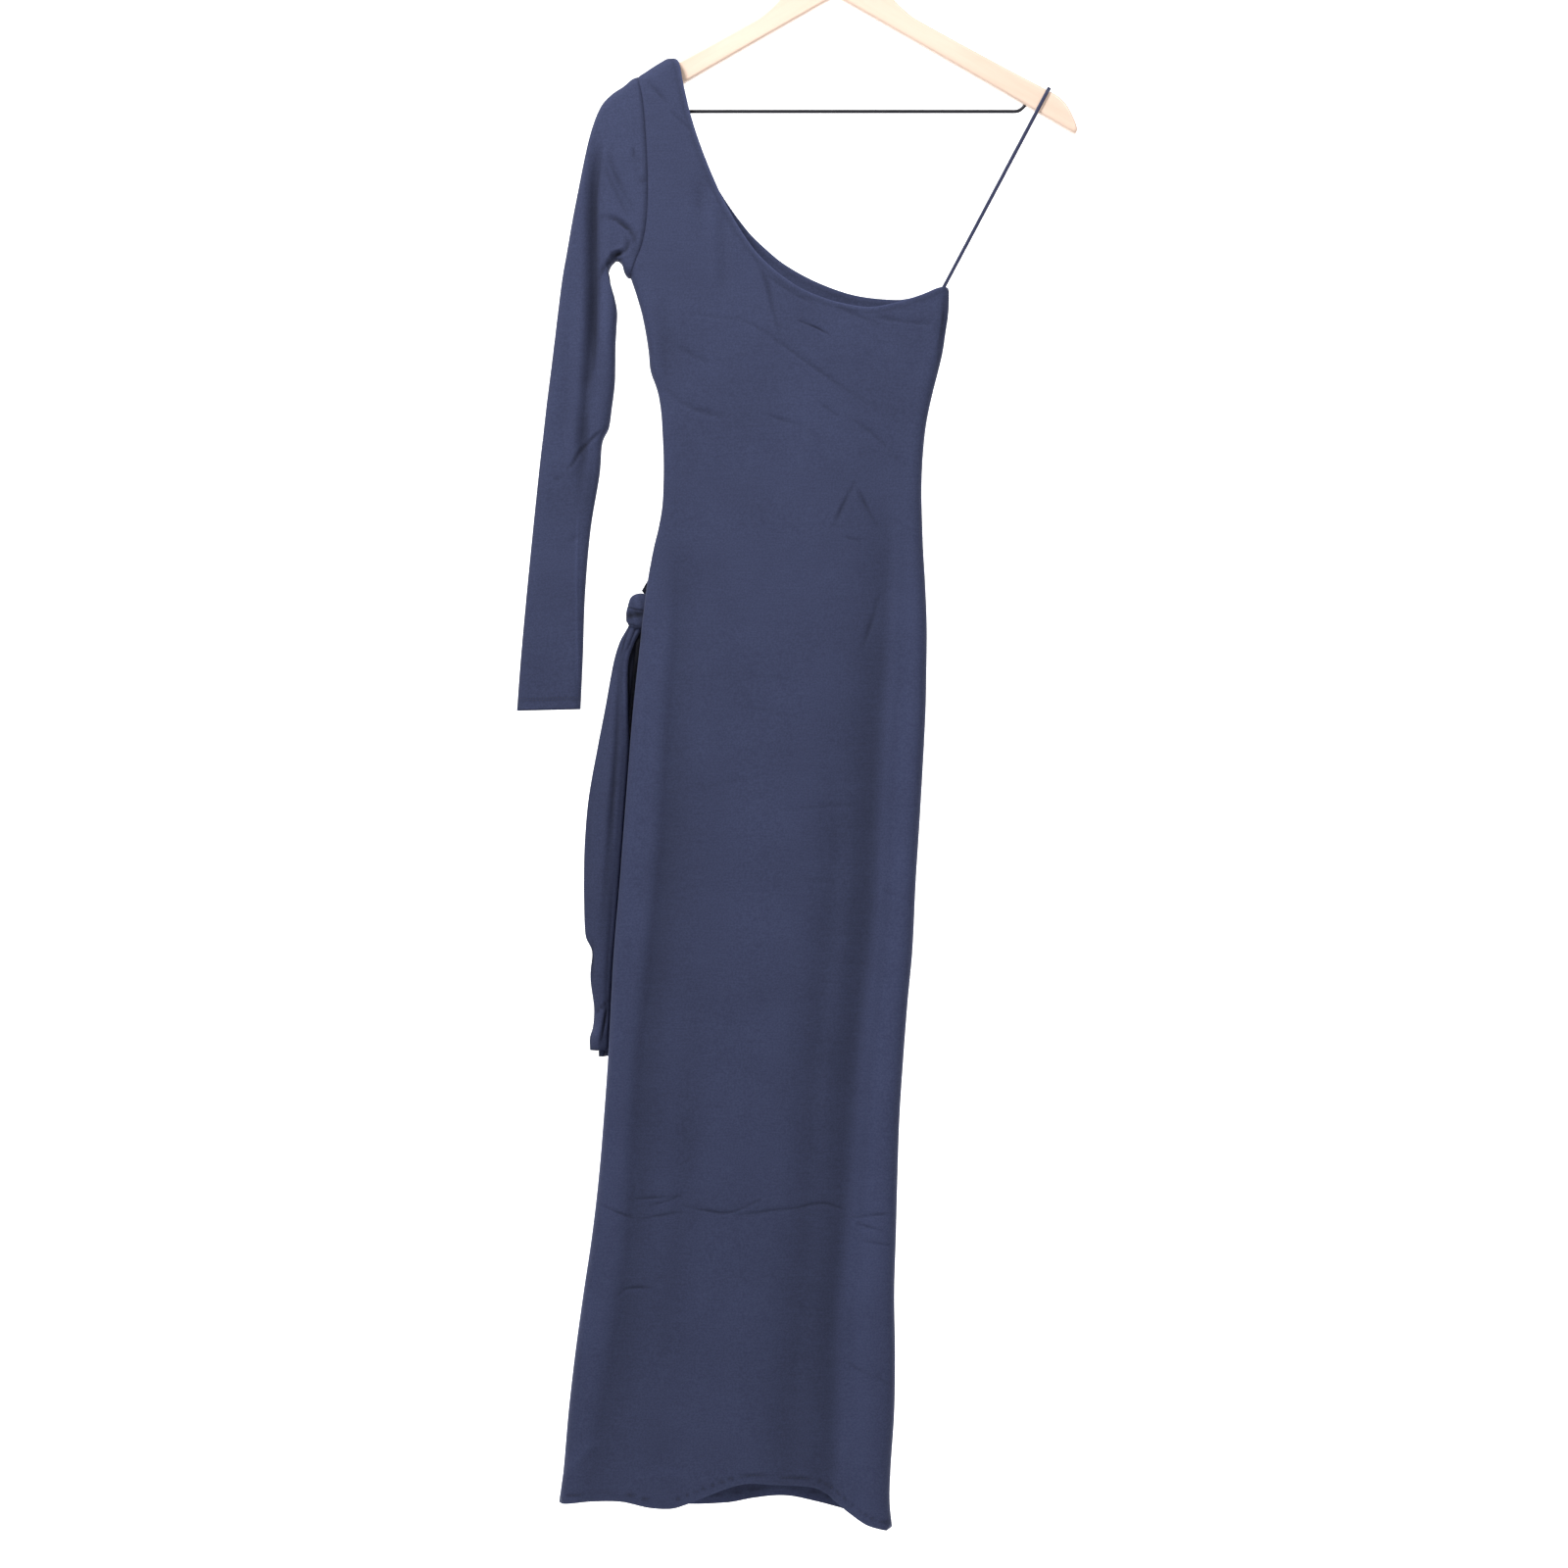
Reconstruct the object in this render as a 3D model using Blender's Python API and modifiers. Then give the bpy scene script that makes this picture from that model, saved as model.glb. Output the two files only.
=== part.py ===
# A one-shoulder dress of smooth navy jersey, hung on a flat wooden hanger.
# The origin is the inside top of the hook, where it rests on a rail. The front faces -Y, and +X points to the right
# for someone who looks at the front. Sizes below are millimetres, and MM turns them into Blender's metres.
import math
from collections import namedtuple

import bmesh
import bpy
from mathutils import Vector
from mathutils.geometry import delaunay_2d_cdt

MM = 0.001

# Cloth
WALL = 1.5  # thickness of the jersey with its turned edges
SEAM_GAP = 0.3  # between two pieces that are sewn together
SEAM_LIP = 2.0  # how far a panel's sewn edge turns in, measured from the plane between front and back
SIDE_ROUND = 22.0  # width of the soft curve along a side seam
SHOULDER_ROUND = 12.0  # width of the soft curve over the hanger's arm
PANEL_COLUMN = 19.0  # spacing of a panel's points across
PANEL_ROW = 36.0  # spacing down the skirt
BODICE_ROW = 22.0  # spacing down the bodice
EDGE_STEP = 13.0  # spacing along necklines and hems
SIDE_STEPS = (4.0, 11.0, 20.0)  # distances of the extra columns beside each side seam
SHOULDER_STEPS = (3.5, 9.0)  # distances of the extra rows below the shoulder seam
SHOULDER_ROOM = 2.6  # the extra rows' points keep this far from the panel's edge
EDGE_ROOM = 3.6  # and all others this far
UPPER_ROWS = 9  # rows of points above the underarm
HALF_RING = 10  # steps from a sleeve ring's outer point to its underarm point

# Hanger
ARM_HALF_THICKNESS = 5.5
ARM_BEVEL = 2.5
HOOK_RADIUS = 22.0
HOOK_WIRE = 1.9  # radius
HOOK_STEM = [(0.0, -82.0), (0.0, -68.0), (0.0, -58.0), (1.6, -51.5), (6.0, -46.0)]
CROOK_START = -52.0  # degrees round the crook, from +X towards +Z
CROOK_STEP = 15.5
CROOK_STEPS = 19
STEM_HOLE = [(0.0, -83.0), (0.0, -50.0)]
BAR_WIRE = 1.75  # radius
BAR_HEIGHT = -214.0
BAR_BEND = [(173.0, 0.0), (176.0, 0.9), (184.5, 9.4), (188.1, 13.0)]  # its end: place across, height above the bar
BAR_HOLE_FROM = 180.0  # the wood is bored for what lies further out than this
HOLE_LEAD = 6.0  # how far a bar's hole starts before the wood
HOLE_ROOM = 0.3

BodyRow = namedtuple("BodyRow", "z left right depth")
Spot = namedtuple("Spot", "x z")
RingRow = namedtuple("RingRow", "outer_x outer_z inner_x inner_z depth")
FoldRow = namedtuple("FoldRow", "z x width depth")
TailRow = namedtuple("TailRow", "z left right back fold")

# The body's side edges and its half depth, from the underarm down
BODY_ROWS = [
    BodyRow(-374, -196.8, 107.8, 13),
    BodyRow(-389, -191.7, 108.7, 13),
    BodyRow(-408, -186.2, 108.0, 13.5),
    BodyRow(-427, -182.3, 105.3, 14),
    BodyRow(-446, -179.5, 102.4, 14),
    BodyRow(-463, -177.8, 98.4, 14),
    BodyRow(-483, -171.0, 93.3, 14),
    BodyRow(-502, -167.6, 89.0, 14),
    BodyRow(-521, -166.2, 85.8, 14),
    BodyRow(-549, -165.0, 83.3, 14),
    BodyRow(-577, -165.3, 82.3, 14.5),
    BodyRow(-596, -166.6, 82.6, 15),
    BodyRow(-615, -170.0, 83.2, 15.5),
    BodyRow(-634, -174.6, 83.9, 16),
    BodyRow(-666, -180.4, 85.8, 16),
    BodyRow(-707, -185.6, 87.4, 16.5),
    BodyRow(-748, -190.4, 87.1, 17),
    BodyRow(-795, -195.2, 86.0, 17),
    BodyRow(-887, -202.4, 81.0, 17),
    BodyRow(-953, -207.4, 76.8, 17),
    BodyRow(-1019, -213.0, 73.6, 17),
    BodyRow(-1066, -215.6, 69.2, 17),
    BodyRow(-1122, -218.6, 64.9, 17),
    BodyRow(-1179, -222.7, 61.2, 17),
    BodyRow(-1235, -227.4, 59.3, 17.5),
    BodyRow(-1292, -234.0, 57.8, 18),
    BodyRow(-1348, -242.3, 56.2, 18),
    BodyRow(-1404, -250.0, 57.0, 18),
    BodyRow(-1461, -256.5, 56.2, 18),
    BodyRow(-1517, -261.4, 52.6, 17),
    BodyRow(-1547, -265.4, 51.8, 16),
    BodyRow(-1574, -268.0, 54.4, 15),
]
UNDERARM = Spot(-196.8, -374.0)
RIGHT_CORNER = Spot(107.7, -383.2)
HEM_LEFT_Z = -1547.0
LAST_RIGHT_Z = -1556.0  # the right edge's last point above the hem's low corner
CORNER_ROOM = 5.0  # and its first point is this far below the upper corner

# Upper edges of the panels
SHOULDER = [
    Spot(-190.1, -181.8), Spot(-184.9, -178.6), Spot(-173.5, -171.0), Spot(-162.0, -164.2), Spot(-153.1, -163.6),
]
ARMHOLE = [
    Spot(-190.1, -181.8), Spot(-184.8, -204.7), Spot(-181.3, -246.7), Spot(-180.0, -280.0), Spot(-181.0, -318.0),
    Spot(-185.4, -343.1), Spot(-191.4, -358.7), UNDERARM,
]
FRONT_NECK = [
    Spot(-153.1, -163.6), Spot(-149.4, -171.1), Spot(-146.2, -188.0), Spot(-137.6, -223.7), Spot(-125.4, -259.4),
    Spot(-109.0, -297.4), Spot(-89.6, -331.8), Spot(-70.4, -356.9), Spot(-39.8, -381.6), Spot(-9.3, -395.3),
    Spot(21.7, -402.6), Spot(38.0, -403.0), Spot(60.0, -398.2), Spot(82.8, -390.9), Spot(98.0, -384.6), RIGHT_CORNER,
]
BACK_NECK = [
    Spot(-153.1, -163.6), Spot(-149.6, -171.1), Spot(-146.6, -188.0), Spot(-138.4, -223.7), Spot(-125.8, -256.6),
    Spot(-112.7, -286.6), Spot(-85.8, -325.2), Spot(-66.6, -344.5), Spot(-47.5, -359.8), Spot(-16.8, -376.4),
    Spot(19.8, -388.8), Spot(58.1, -392.8), Spot(77.2, -390.0), Spot(92.2, -385.8), RIGHT_CORNER,
]
FRONT_HEM = [
    Spot(51.8, -1573.0), Spot(32.1, -1568.6), Spot(20.8, -1563.2), Spot(0.1, -1548.2), Spot(-11.2, -1539.3),
    Spot(-22.5, -1534.4), Spot(-59.1, -1532.0), Spot(-81.7, -1530.3), Spot(-97.7, -1533.1), Spot(-129.6, -1545.1),
    Spot(-143.2, -1550.7), Spot(-157.0, -1554.6), Spot(-177.6, -1553.8), Spot(-204.8, -1547.6), Spot(-235.0, -1547.0),
    Spot(-265.4, -1547.0),
]
BACK_HEM = [
    Spot(51.8, -1573.0), Spot(25.0, -1563.0), Spot(-2.0, -1552.4), Spot(-47.8, -1544.2), Spot(-79.8, -1542.6),
    Spot(-115.8, -1549.6), Spot(-150.0, -1550.6), Spot(-205.0, -1547.6), Spot(-265.4, -1547.0),
]

# The side cut-out at the left: sewn above CUT_TOP and below CUT_FOOT, with free edges that part between them
CUT_TOP = -463.0
CUT_FOOT = -722.0
CUT_PARTING = 7.0  # how far each free edge stands further out than the seam
CUT_BACK_INSET = 7.0  # the back's free edge lies this much further in, hidden by the front's

# Soft vertical troughs in the skirt and bodice, as height, place across, half width and depth
FRONT_FOLDS = [
    [FoldRow(-640, -144, 12, 0), FoldRow(-765, -147, 13, 3), FoldRow(-953, -163, 15, 4.5), FoldRow(-1181, -189, 16, 5),
     FoldRow(-1327, -202, 17, 4.5), FoldRow(-1457, -228, 20, 2)],
    [FoldRow(-700, -139, 13, 0), FoldRow(-895, -130, 15, 2), FoldRow(-1020, -138, 16, 2), FoldRow(-1214, -141, 17, 3),
     FoldRow(-1376, -157, 18, 1.5)],
    [FoldRow(-590, 46, 12, 0), FoldRow(-740, 42, 14, 4), FoldRow(-895, 31, 15, 5), FoldRow(-1051, 21, 16, 5),
     FoldRow(-1214, 8, 17, 5), FoldRow(-1376, -5, 18, 5), FoldRow(-1560, -10, 20, 6)],
    [FoldRow(-830, 2, 14, 0), FoldRow(-1020, -14, 15, 3), FoldRow(-1246, -31, 17, 3), FoldRow(-1440, -40, 18, 3),
     FoldRow(-1560, -46, 20, 2)],
    [FoldRow(-370, -169, 12, 0), FoldRow(-440, -160, 14, 3), FoldRow(-520, -150, 15, 0)],
]
BACK_FOLDS = [
    [FoldRow(-620, -120, 13, 0), FoldRow(-800, -128, 15, 4), FoldRow(-1150, -160, 17, 5), FoldRow(-1560, -196, 20, 5)],
    [FoldRow(-640, -30, 14, 0), FoldRow(-900, -44, 16, 4), FoldRow(-1250, -62, 18, 5), FoldRow(-1560, -84, 20, 5)],
    [FoldRow(-600, 40, 13, 0), FoldRow(-820, 36, 15, 4), FoldRow(-1150, 14, 17, 5), FoldRow(-1560, -2, 19, 4)],
    [FoldRow(-380, 40, 14, 0), FoldRow(-450, 30, 16, 3), FoldRow(-560, 10, 16, 0)],
]

# Sleeve rings from the armhole to the cuff: the outer point, the underarm point and the half depth
SLEEVE_RINGS = [
    RingRow(-190.1, -181.8, -196.8, -374.0, 12.5),
    RingRow(-195.4, -184.0, -199.7, -373.4, 12.5),
    RingRow(-203.2, -190.6, -202.9, -368.5, 12.5),
    RingRow(-213.2, -197.2, -205.2, -361.0, 12.5),
    RingRow(-222.6, -206.2, -209.5, -357.5, 12.5),
    RingRow(-228.6, -217.0, -213.2, -359.6, 12.5),
    RingRow(-232.9, -228.5, -216.5, -364.3, 12.5),
    RingRow(-237.2, -243.5, -218.0, -371.3, 12.5),
    RingRow(-241.8, -264.1, -216.1, -379.8, 12.5),
    RingRow(-247.2, -291.4, -212.3, -392.0, 12),
    RingRow(-252.7, -319.6, -209.7, -406.1, 12),
    RingRow(-257.4, -346.9, -210.3, -422.1, 11.5),
    RingRow(-262.2, -374.1, -211.2, -439.0, 11.5),
    RingRow(-266.0, -403.3, -211.4, -457.8, 11),
    RingRow(-269.6, -433.4, -212.0, -476.6, 11),
    RingRow(-273.4, -464.4, -214.7, -498.2, 11),
    RingRow(-277.2, -494.5, -218.9, -520.8, 11),
    RingRow(-280.5, -523.6, -222.7, -541.4, 10.5),
    RingRow(-283.8, -551.8, -226.0, -565.0, 10.5),
    RingRow(-289.9, -610.1, -235.1, -614.8, 10),
    RingRow(-296.4, -675.8, -240.4, -675.8, 9.5),
    RingRow(-302.1, -738.8, -242.6, -737.9, 9),
    RingRow(-305.8, -788.7, -244.8, -787.3, 9),
]
ARMHOLE_PULL = (1.0, 0.5, 0.2)  # how much of the armhole's curve the first rings keep
SLEEVE_END_ROUND = 12.0  # width of the soft curve at a ring's two ends
SLEEVE_FOLD = [
    FoldRow(-235, -226, 5, 0), FoldRow(-300, -232, 6, 3), FoldRow(-400, -239, 7, 4.5), FoldRow(-500, -242, 7, 4),
    FoldRow(-620, -246, 6, 0),
]

# The tie at the left hip
KNOT_CENTRE = (-190.5, 0.6, -693.5)
KNOT_HALF = (11.0, 6.6, 17.5)
KNOT_SWELL = 0.12
BAND_START = (-171.6, 5.4, -660.5)
BAND_END = (-184.0, 0.2, -678.2)
BAND_ACROSS = (0.62, 0.0, -0.78)
BAND_HALF = (7.0, 3.6)  # half width at its start and at the knot
BAND_CROWN = 1.4
BAND_STEPS = 4
BAND_PLACES = (-1.0, -0.3, 0.3, 1.0)  # points across it
TAIL_WALL = 1.6
TAIL_STEPS = 6  # points across a tail
TAIL_REACH = 5.0  # a tail starts to turn behind the back panel this far before its edge
TAIL_CLEARANCE = 2.4  # from the back panel to the far face of a tail that hangs behind it
OUTER_TAIL = [
    TailRow(-711.4, -199.5, -186.5, 1.6, 1.2),
    TailRow(-723, -207.2, -195.5, 1.8, 2.0),
    TailRow(-742, -212.4, -201.0, 2.0, 3.0),
    TailRow(-784, -220.3, -200.3, 3.0, 4.5),
    TailRow(-822, -227.7, -199.6, 3.5, 6.0),
    TailRow(-873, -236.8, -203.0, 3.5, 6.5),
    TailRow(-916, -240.5, -206.2, 3.5, 6.5),
    TailRow(-953, -241.5, -209.0, 3.5, 6.5),
    TailRow(-991, -241.5, -212.2, 3.5, 6.0),
    TailRow(-1007, -239.0, -213.6, 3.5, 5.5),
    TailRow(-1017, -234.6, -214.4, 3.5, 5.0),
    TailRow(-1047, -235.4, -216.3, 3.5, 5.0),
    TailRow(-1075, -233.2, -217.6, 3.5, 4.5),
    TailRow(-1099, -235.8, -218.8, 3.5, 5.0),
    TailRow(-1114, -235.6, -219.8, 3.5, 4.0),
]
INNER_TAIL = [
    TailRow(-710.8, -195.5, -185.5, 4.4, 0.6),
    TailRow(-740, -206.0, -184.5, 6.6, 1.0),
    TailRow(-790, -214.0, -186.5, 7.0, 1.0),
    TailRow(-850, -221.0, -190.5, 7.2, 1.0),
    TailRow(-950, -229.0, -198.0, 7.2, 1.0),
    TailRow(-1050, -228.5, -206.5, 7.2, 1.0),
    TailRow(-1121, -227.5, -210.0, 7.2, 1.0),
]

# The hanger's arm, right half, from the apex of its lower edge round to the top of its neck
ARM_HALF = [
    Spot(0.0, -104.0), Spot(88.5, -154.6), Spot(182.5, -208.8), Spot(226.0, -234.2), Spot(229.8, -235.4),
    Spot(231.4, -231.2), Spot(227.6, -220.0), Spot(221.0, -207.9), Spot(212.5, -199.6), Spot(204.1, -194.8),
    Spot(156.1, -169.4), Spot(88.5, -132.5), Spot(71.5, -122.2), Spot(55.6, -107.2), Spot(36.0, -84.0),
    Spot(22.0, -72.5), Spot(9.0, -68.0),
]
LOOP_FOOT = Spot(99.8, -389.5)
LOOP_TOP = Spot(204.6, -191.8)
LOOP_WIDTH = 3.4
LOOP_WALL = 0.9
LOOP_FOOT_HALF = 1.25  # its two ends lie this far from the middle plane
LOOP_BESIDE_ARM = 27.0  # length of ribbon from its top to where it leaves the wood
LOOP_OVER_ARM = [(4.5, 0.0), (1.3, 1.9), (0.0, 3.9)]  # distance from the top, and how far it has closed in there

COLOURS = {
    "navy": ((0.040, 0.048, 0.098, 1), 0.85, 0.0),
    "wood": ((0.78, 0.60, 0.44, 1), 0.45, 0.0),
    "steel": ((0.10, 0.10, 0.11, 1), 0.35, 1.0),
    "chrome": ((0.70, 0.70, 0.72, 1), 0.2, 1.0),
    "ribbon": ((0.035, 0.040, 0.085, 1), 0.5, 0.0),
}


def smooth_value(xs, ys, x):
    """The value at x of a curve through the points, with the slope at each from its two neighbours."""
    if x <= xs[0]:
        return ys[0]
    if x >= xs[-1]:
        return ys[-1]
    i = next(k for k in range(len(xs) - 1) if x <= xs[k + 1])
    step = xs[i + 1] - xs[i]

    def slope(k):
        low, high = max(k - 1, 0), min(k + 1, len(xs) - 1)
        return (ys[high] - ys[low]) / (xs[high] - xs[low])

    t = (x - xs[i]) / step
    return (
        (1 + 2 * t) * (1 - t) ** 2 * ys[i]
        + t * t * (3 - 2 * t) * ys[i + 1]
        + step * t * (1 - t) * ((1 - t) * slope(i) - t * slope(i + 1))
    )


def column_value(rows, column, z):
    """A table's column at height z; the rows run downwards."""
    return smooth_value([-row.z for row in rows], [getattr(row, column) for row in rows], -z)


def curve_through(spots, step, early=()):
    """Points about one step apart on a smooth curve through the spots, after any early ones near its start."""
    at = [0.0]
    for a, b in zip(spots, spots[1:]):
        at.append(at[-1] + math.hypot(b.x - a.x, b.z - a.z))
    first = max((0.0, *early))
    count = max(1, round((at[-1] - first) / step))
    fine = [0.0, *early[:-1]] if early else []
    fine += [first + i * (at[-1] - first) / count for i in range(count + 1)]
    return [
        Spot(smooth_value(at, [p.x for p in spots], f), smooth_value(at, [p.z for p in spots], f)) for f in fine
    ]


def armhole_points():
    """The armhole's seam from the shoulder down to the underarm, closer together at its ends."""
    fine = curve_through(ARMHOLE, 1.0)
    last = len(fine) - 1
    return [fine[round(last * (1 - math.cos(math.pi * i / HALF_RING)) / 2)] for i in range(HALF_RING + 1)]


def rise(distance, width):
    """A quarter round: 0 at a seam and 1 from that width on."""
    q = 1 - min(1.0, max(0.0, distance / width))
    return math.sqrt(1 - q * q)


def bell(x):
    return math.exp(-x * x)


def fold_depth(folds, x, z):
    total = 0.0
    for rows in folds:
        if rows[0].z >= z:
            depth = column_value(rows, "depth", z)
            total += depth * bell((x - column_value(rows, "x", z)) / column_value(rows, "width", z))
    return total


def distance_to(spots, x, z):
    """The distance from a place to a line of spots."""
    best = 1e9
    for a, b in zip(spots, spots[1:]):
        dx, dz = b.x - a.x, b.z - a.z
        t = min(1.0, max(0.0, ((x - a.x) * dx + (z - a.z) * dz) / (dx * dx + dz * dz)))
        best = min(best, math.hypot(x - a.x - t * dx, z - a.z - t * dz))
    return best


def parting(z):
    """How much further out than a seam the left side's free edge stands: 0 where it is sewn."""
    if z >= CUT_TOP or z <= CUT_FOOT:
        return 0.0
    return CUT_PARTING * min(1.0, (CUT_TOP - z) / 60, (z - CUT_FOOT) / 12)


def left_edge(side, z):
    inset = CUT_BACK_INSET * parting(z) / CUT_PARTING if side > 0 else 0.0
    return column_value(BODY_ROWS, "left", z) + inset


def right_edge(z):
    return column_value(BODY_ROWS, "right", z)


def panel_depth(side, x, z):
    """How far the cloth stands from the plane between front and back; side is -1 for the front, 1 for the back."""
    if z <= UNDERARM.z:
        from_left = x - left_edge(side, z)
    else:
        from_left = math.hypot(x - UNDERARM.x, z - UNDERARM.z)
    if z <= RIGHT_CORNER.z:
        from_right = right_edge(z) - x
    else:
        from_right = math.hypot(x - RIGHT_CORNER.x, z - RIGHT_CORNER.z)
    from_shoulder = distance_to(SHOULDER, x, z)
    round_off = rise(from_right, SIDE_ROUND) * rise(from_shoulder, SHOULDER_ROUND)
    at_left = rise(from_left, SIDE_ROUND)
    full = column_value(BODY_ROWS, "depth", z)
    open_lip = parting(z) * (1 - at_left)
    folds = fold_depth(FRONT_FOLDS if side < 0 else BACK_FOLDS, x, z)
    return SEAM_LIP + open_lip + (full - SEAM_LIP - folds) * round_off * at_left


def row_heights():
    """The heights of the panels' rows: closer together in the bodice."""
    heights, z = [], UNDERARM.z
    while z > HEM_LEFT_Z:
        heights.append(z)
        z -= BODICE_ROW if z > CUT_FOOT + BODICE_ROW else PANEL_ROW
    if heights[-1] - HEM_LEFT_Z < PANEL_ROW / 2:
        heights.pop()
    return heights


def columns_between(left, right):
    """Places across a row, with the extra columns beside each side seam."""
    first, last = left + SIDE_STEPS[-1], right - SIDE_STEPS[-1]
    count = round((last - first) / PANEL_COLUMN)
    middle = [first + (last - first) * i / count for i in range(count + 1)]
    return [left + s for s in SIDE_STEPS[:-1]] + middle + [right - s for s in reversed(SIDE_STEPS[:-1])]


def inside(outline, x, z):
    hit = False
    for a, b in zip(outline, outline[1:] + outline[:1]):
        if (a.z > z) != (b.z > z) and x < a.x + (z - a.z) * (b.x - a.x) / (b.z - a.z):
            hit = not hit
    return hit


def panel_outline(side):
    """The panel's edge, and which stretches of it are sewn to the other panel, as sets of places."""
    heights = row_heights()[1:]
    shoulder = curve_through(SHOULDER, 10.0)
    neck = curve_through(FRONT_NECK if side < 0 else BACK_NECK, EDGE_STEP, SHOULDER_STEPS)
    hem = curve_through(FRONT_HEM if side < 0 else BACK_HEM, EDGE_STEP)
    right_heights = [z for z in heights if z < RIGHT_CORNER.z - CORNER_ROOM] + [LAST_RIGHT_Z]
    right = [Spot(right_edge(z), z) for z in right_heights]
    left = [Spot(left_edge(side, z), z) for z in reversed(heights)]
    arm = armhole_points()
    outline = arm[::-1] + shoulder[1:] + neck[1:] + right + hem + left
    sewn_left = {p for p in [*left, hem[-1], arm[-1]] if not CUT_FOOT < p.z < CUT_TOP}
    return outline, [set(shoulder), {neck[-1], *right, hem[0]}, sewn_left]


def panel_places(side, outline):
    """The places inside the outline that carry the cloth's form."""
    places = []
    for step in SHOULDER_STEPS:
        for a, b in zip(SHOULDER, SHOULDER[1:]):
            length = math.hypot(b.x - a.x, b.z - a.z)
            x = (a.x + b.x) / 2 + step * (b.z - a.z) / length
            z = (a.z + b.z) / 2 - step * (b.x - a.x) / length
            if inside(outline, x, z) and distance_to([*outline, outline[0]], x, z) > SHOULDER_ROOM:
                places.append(Spot(x, z))
    upper = [UNDERARM.z + BODICE_ROW * (i + 1) for i in range(UPPER_ROWS)]
    for z in upper + row_heights():
        level = min(z, UNDERARM.z)
        left = left_edge(side, level) if z <= UNDERARM.z else ARMHOLE[2].x - 2
        for x in columns_between(left, right_edge(level)):
            if inside(outline, x, z) and distance_to([*outline, outline[0]], x, z) > EDGE_ROOM:
                places.append(Spot(x, z))
    return places


def cloth_material(obj, key):
    colour, roughness, metallic = COLOURS[key]
    material = bpy.data.materials.new(obj.name)
    material.use_nodes = True
    shader = material.node_tree.nodes["Principled BSDF"]
    shader.inputs["Base Color"].default_value = colour
    shader.inputs["Roughness"].default_value = roughness
    shader.inputs["Metallic"].default_value = metallic
    material.diffuse_color = colour
    obj.data.materials.append(material)


def add_object(name, data, key):
    obj = bpy.data.objects.new(name, data)
    bpy.data.collections["one_shoulder_dress"].objects.link(obj)
    cloth_material(obj, key)
    return obj


def add_wall(obj, thickness):
    """Gives an open surface whose normals face out its thickness, on the inner side."""
    wall = obj.modifiers.new("wall", "SOLIDIFY")
    wall.thickness = thickness * MM
    wall.offset = -1


def mesh_from(bm, name):
    mesh = bpy.data.meshes.new(name)
    bm.to_mesh(mesh)
    bm.free()
    mesh.shade_smooth()
    mesh.set_sharp_from_angle(angle=math.radians(50))
    return mesh


def make_panel(name, side):
    outline, sewn = panel_outline(side)
    places = panel_places(side, outline)
    flat = [Vector((p.x, p.z)) for p in outline + places]
    spots, _, faces, _, _, _ = delaunay_2d_cdt(flat, [], [list(range(len(outline)))], 1, 1e-4)
    bm = bmesh.new()
    vertices = [
        bm.verts.new(Vector((p.x, side * panel_depth(side, p.x, p.y), p.y)) * MM) for p in spots
    ]
    for face in faces:
        order = face if side < 0 else face[::-1]
        bm.faces.new([vertices[i] for i in order])
    key = {(round(p.x, 2), round(p.y, 2)): vertices[i] for i, p in enumerate(spots)}
    for places_sewn in sewn:
        corners = {key[round(p.x, 2), round(p.z, 2)] for p in places_sewn}
        edges = [e for e in bm.edges if e.is_boundary and e.verts[0] in corners and e.verts[1] in corners]
        lip = bmesh.ops.extrude_edge_only(bm, edges=edges)["geom"]
        for vertex in (g for g in lip if isinstance(g, bmesh.types.BMVert)):
            vertex.co.y = side * SEAM_GAP / 2 * MM
    obj = add_object(name, mesh_from(bm, name), "navy")
    add_wall(obj, WALL)


def loft(bm, rings, closed):
    """Faces between rows of points; each row has as many points as the next."""
    made = [[bm.verts.new(Vector(p) * MM) for p in ring] for ring in rings]
    count = len(rings[0])
    for a, b in zip(made, made[1:]):
        for i in range(count if closed else count - 1):
            j = (i + 1) % count
            bm.faces.new((a[i], a[j], b[j], b[i]))
    return made


def sleeve_ring(index, row):
    """One ring of the sleeve: front points from the outer edge to the underarm, then the back's the other way."""
    seam = armhole_points()
    pull = ARMHOLE_PULL[index] if index < len(ARMHOLE_PULL) else 0.0
    length = math.hypot(row.inner_x - row.outer_x, row.inner_z - row.outer_z)
    front, back = [], []
    for i, spot in enumerate(seam):
        s = (1 - math.cos(math.pi * i / HALF_RING)) / 2
        x = row.outer_x + (row.inner_x - row.outer_x) * s
        z = row.outer_z + (row.inner_z - row.outer_z) * s
        first = SLEEVE_RINGS[0]
        straight_x = first.outer_x + (first.inner_x - first.outer_x) * s
        straight_z = first.outer_z + (first.inner_z - first.outer_z) * s
        x += (spot.x - straight_x) * pull
        z += (spot.z - straight_z) * pull
        ends = rise(length * s, SLEEVE_END_ROUND) * rise(length * (1 - s), SLEEVE_END_ROUND)
        depth = SEAM_LIP + (row.depth - SEAM_LIP) * ends
        if pull:
            depth += (panel_depth(-1, spot.x, spot.z) - depth) * pull
        fold = fold_depth([SLEEVE_FOLD], x, z) * ends
        gap = SEAM_GAP if index == 0 else 0.0
        front.append((x - gap, -(depth - fold), z))
        back.append((x - gap, depth, z))
    return front + back[::-1]


def make_sleeve():
    bm = bmesh.new()
    loft(bm, [sleeve_ring(i, row) for i, row in enumerate(SLEEVE_RINGS)], True)
    bmesh.ops.recalc_face_normals(bm, faces=bm.faces)
    obj = add_object("sleeve", mesh_from(bm, "sleeve"), "navy")
    add_wall(obj, WALL)


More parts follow.
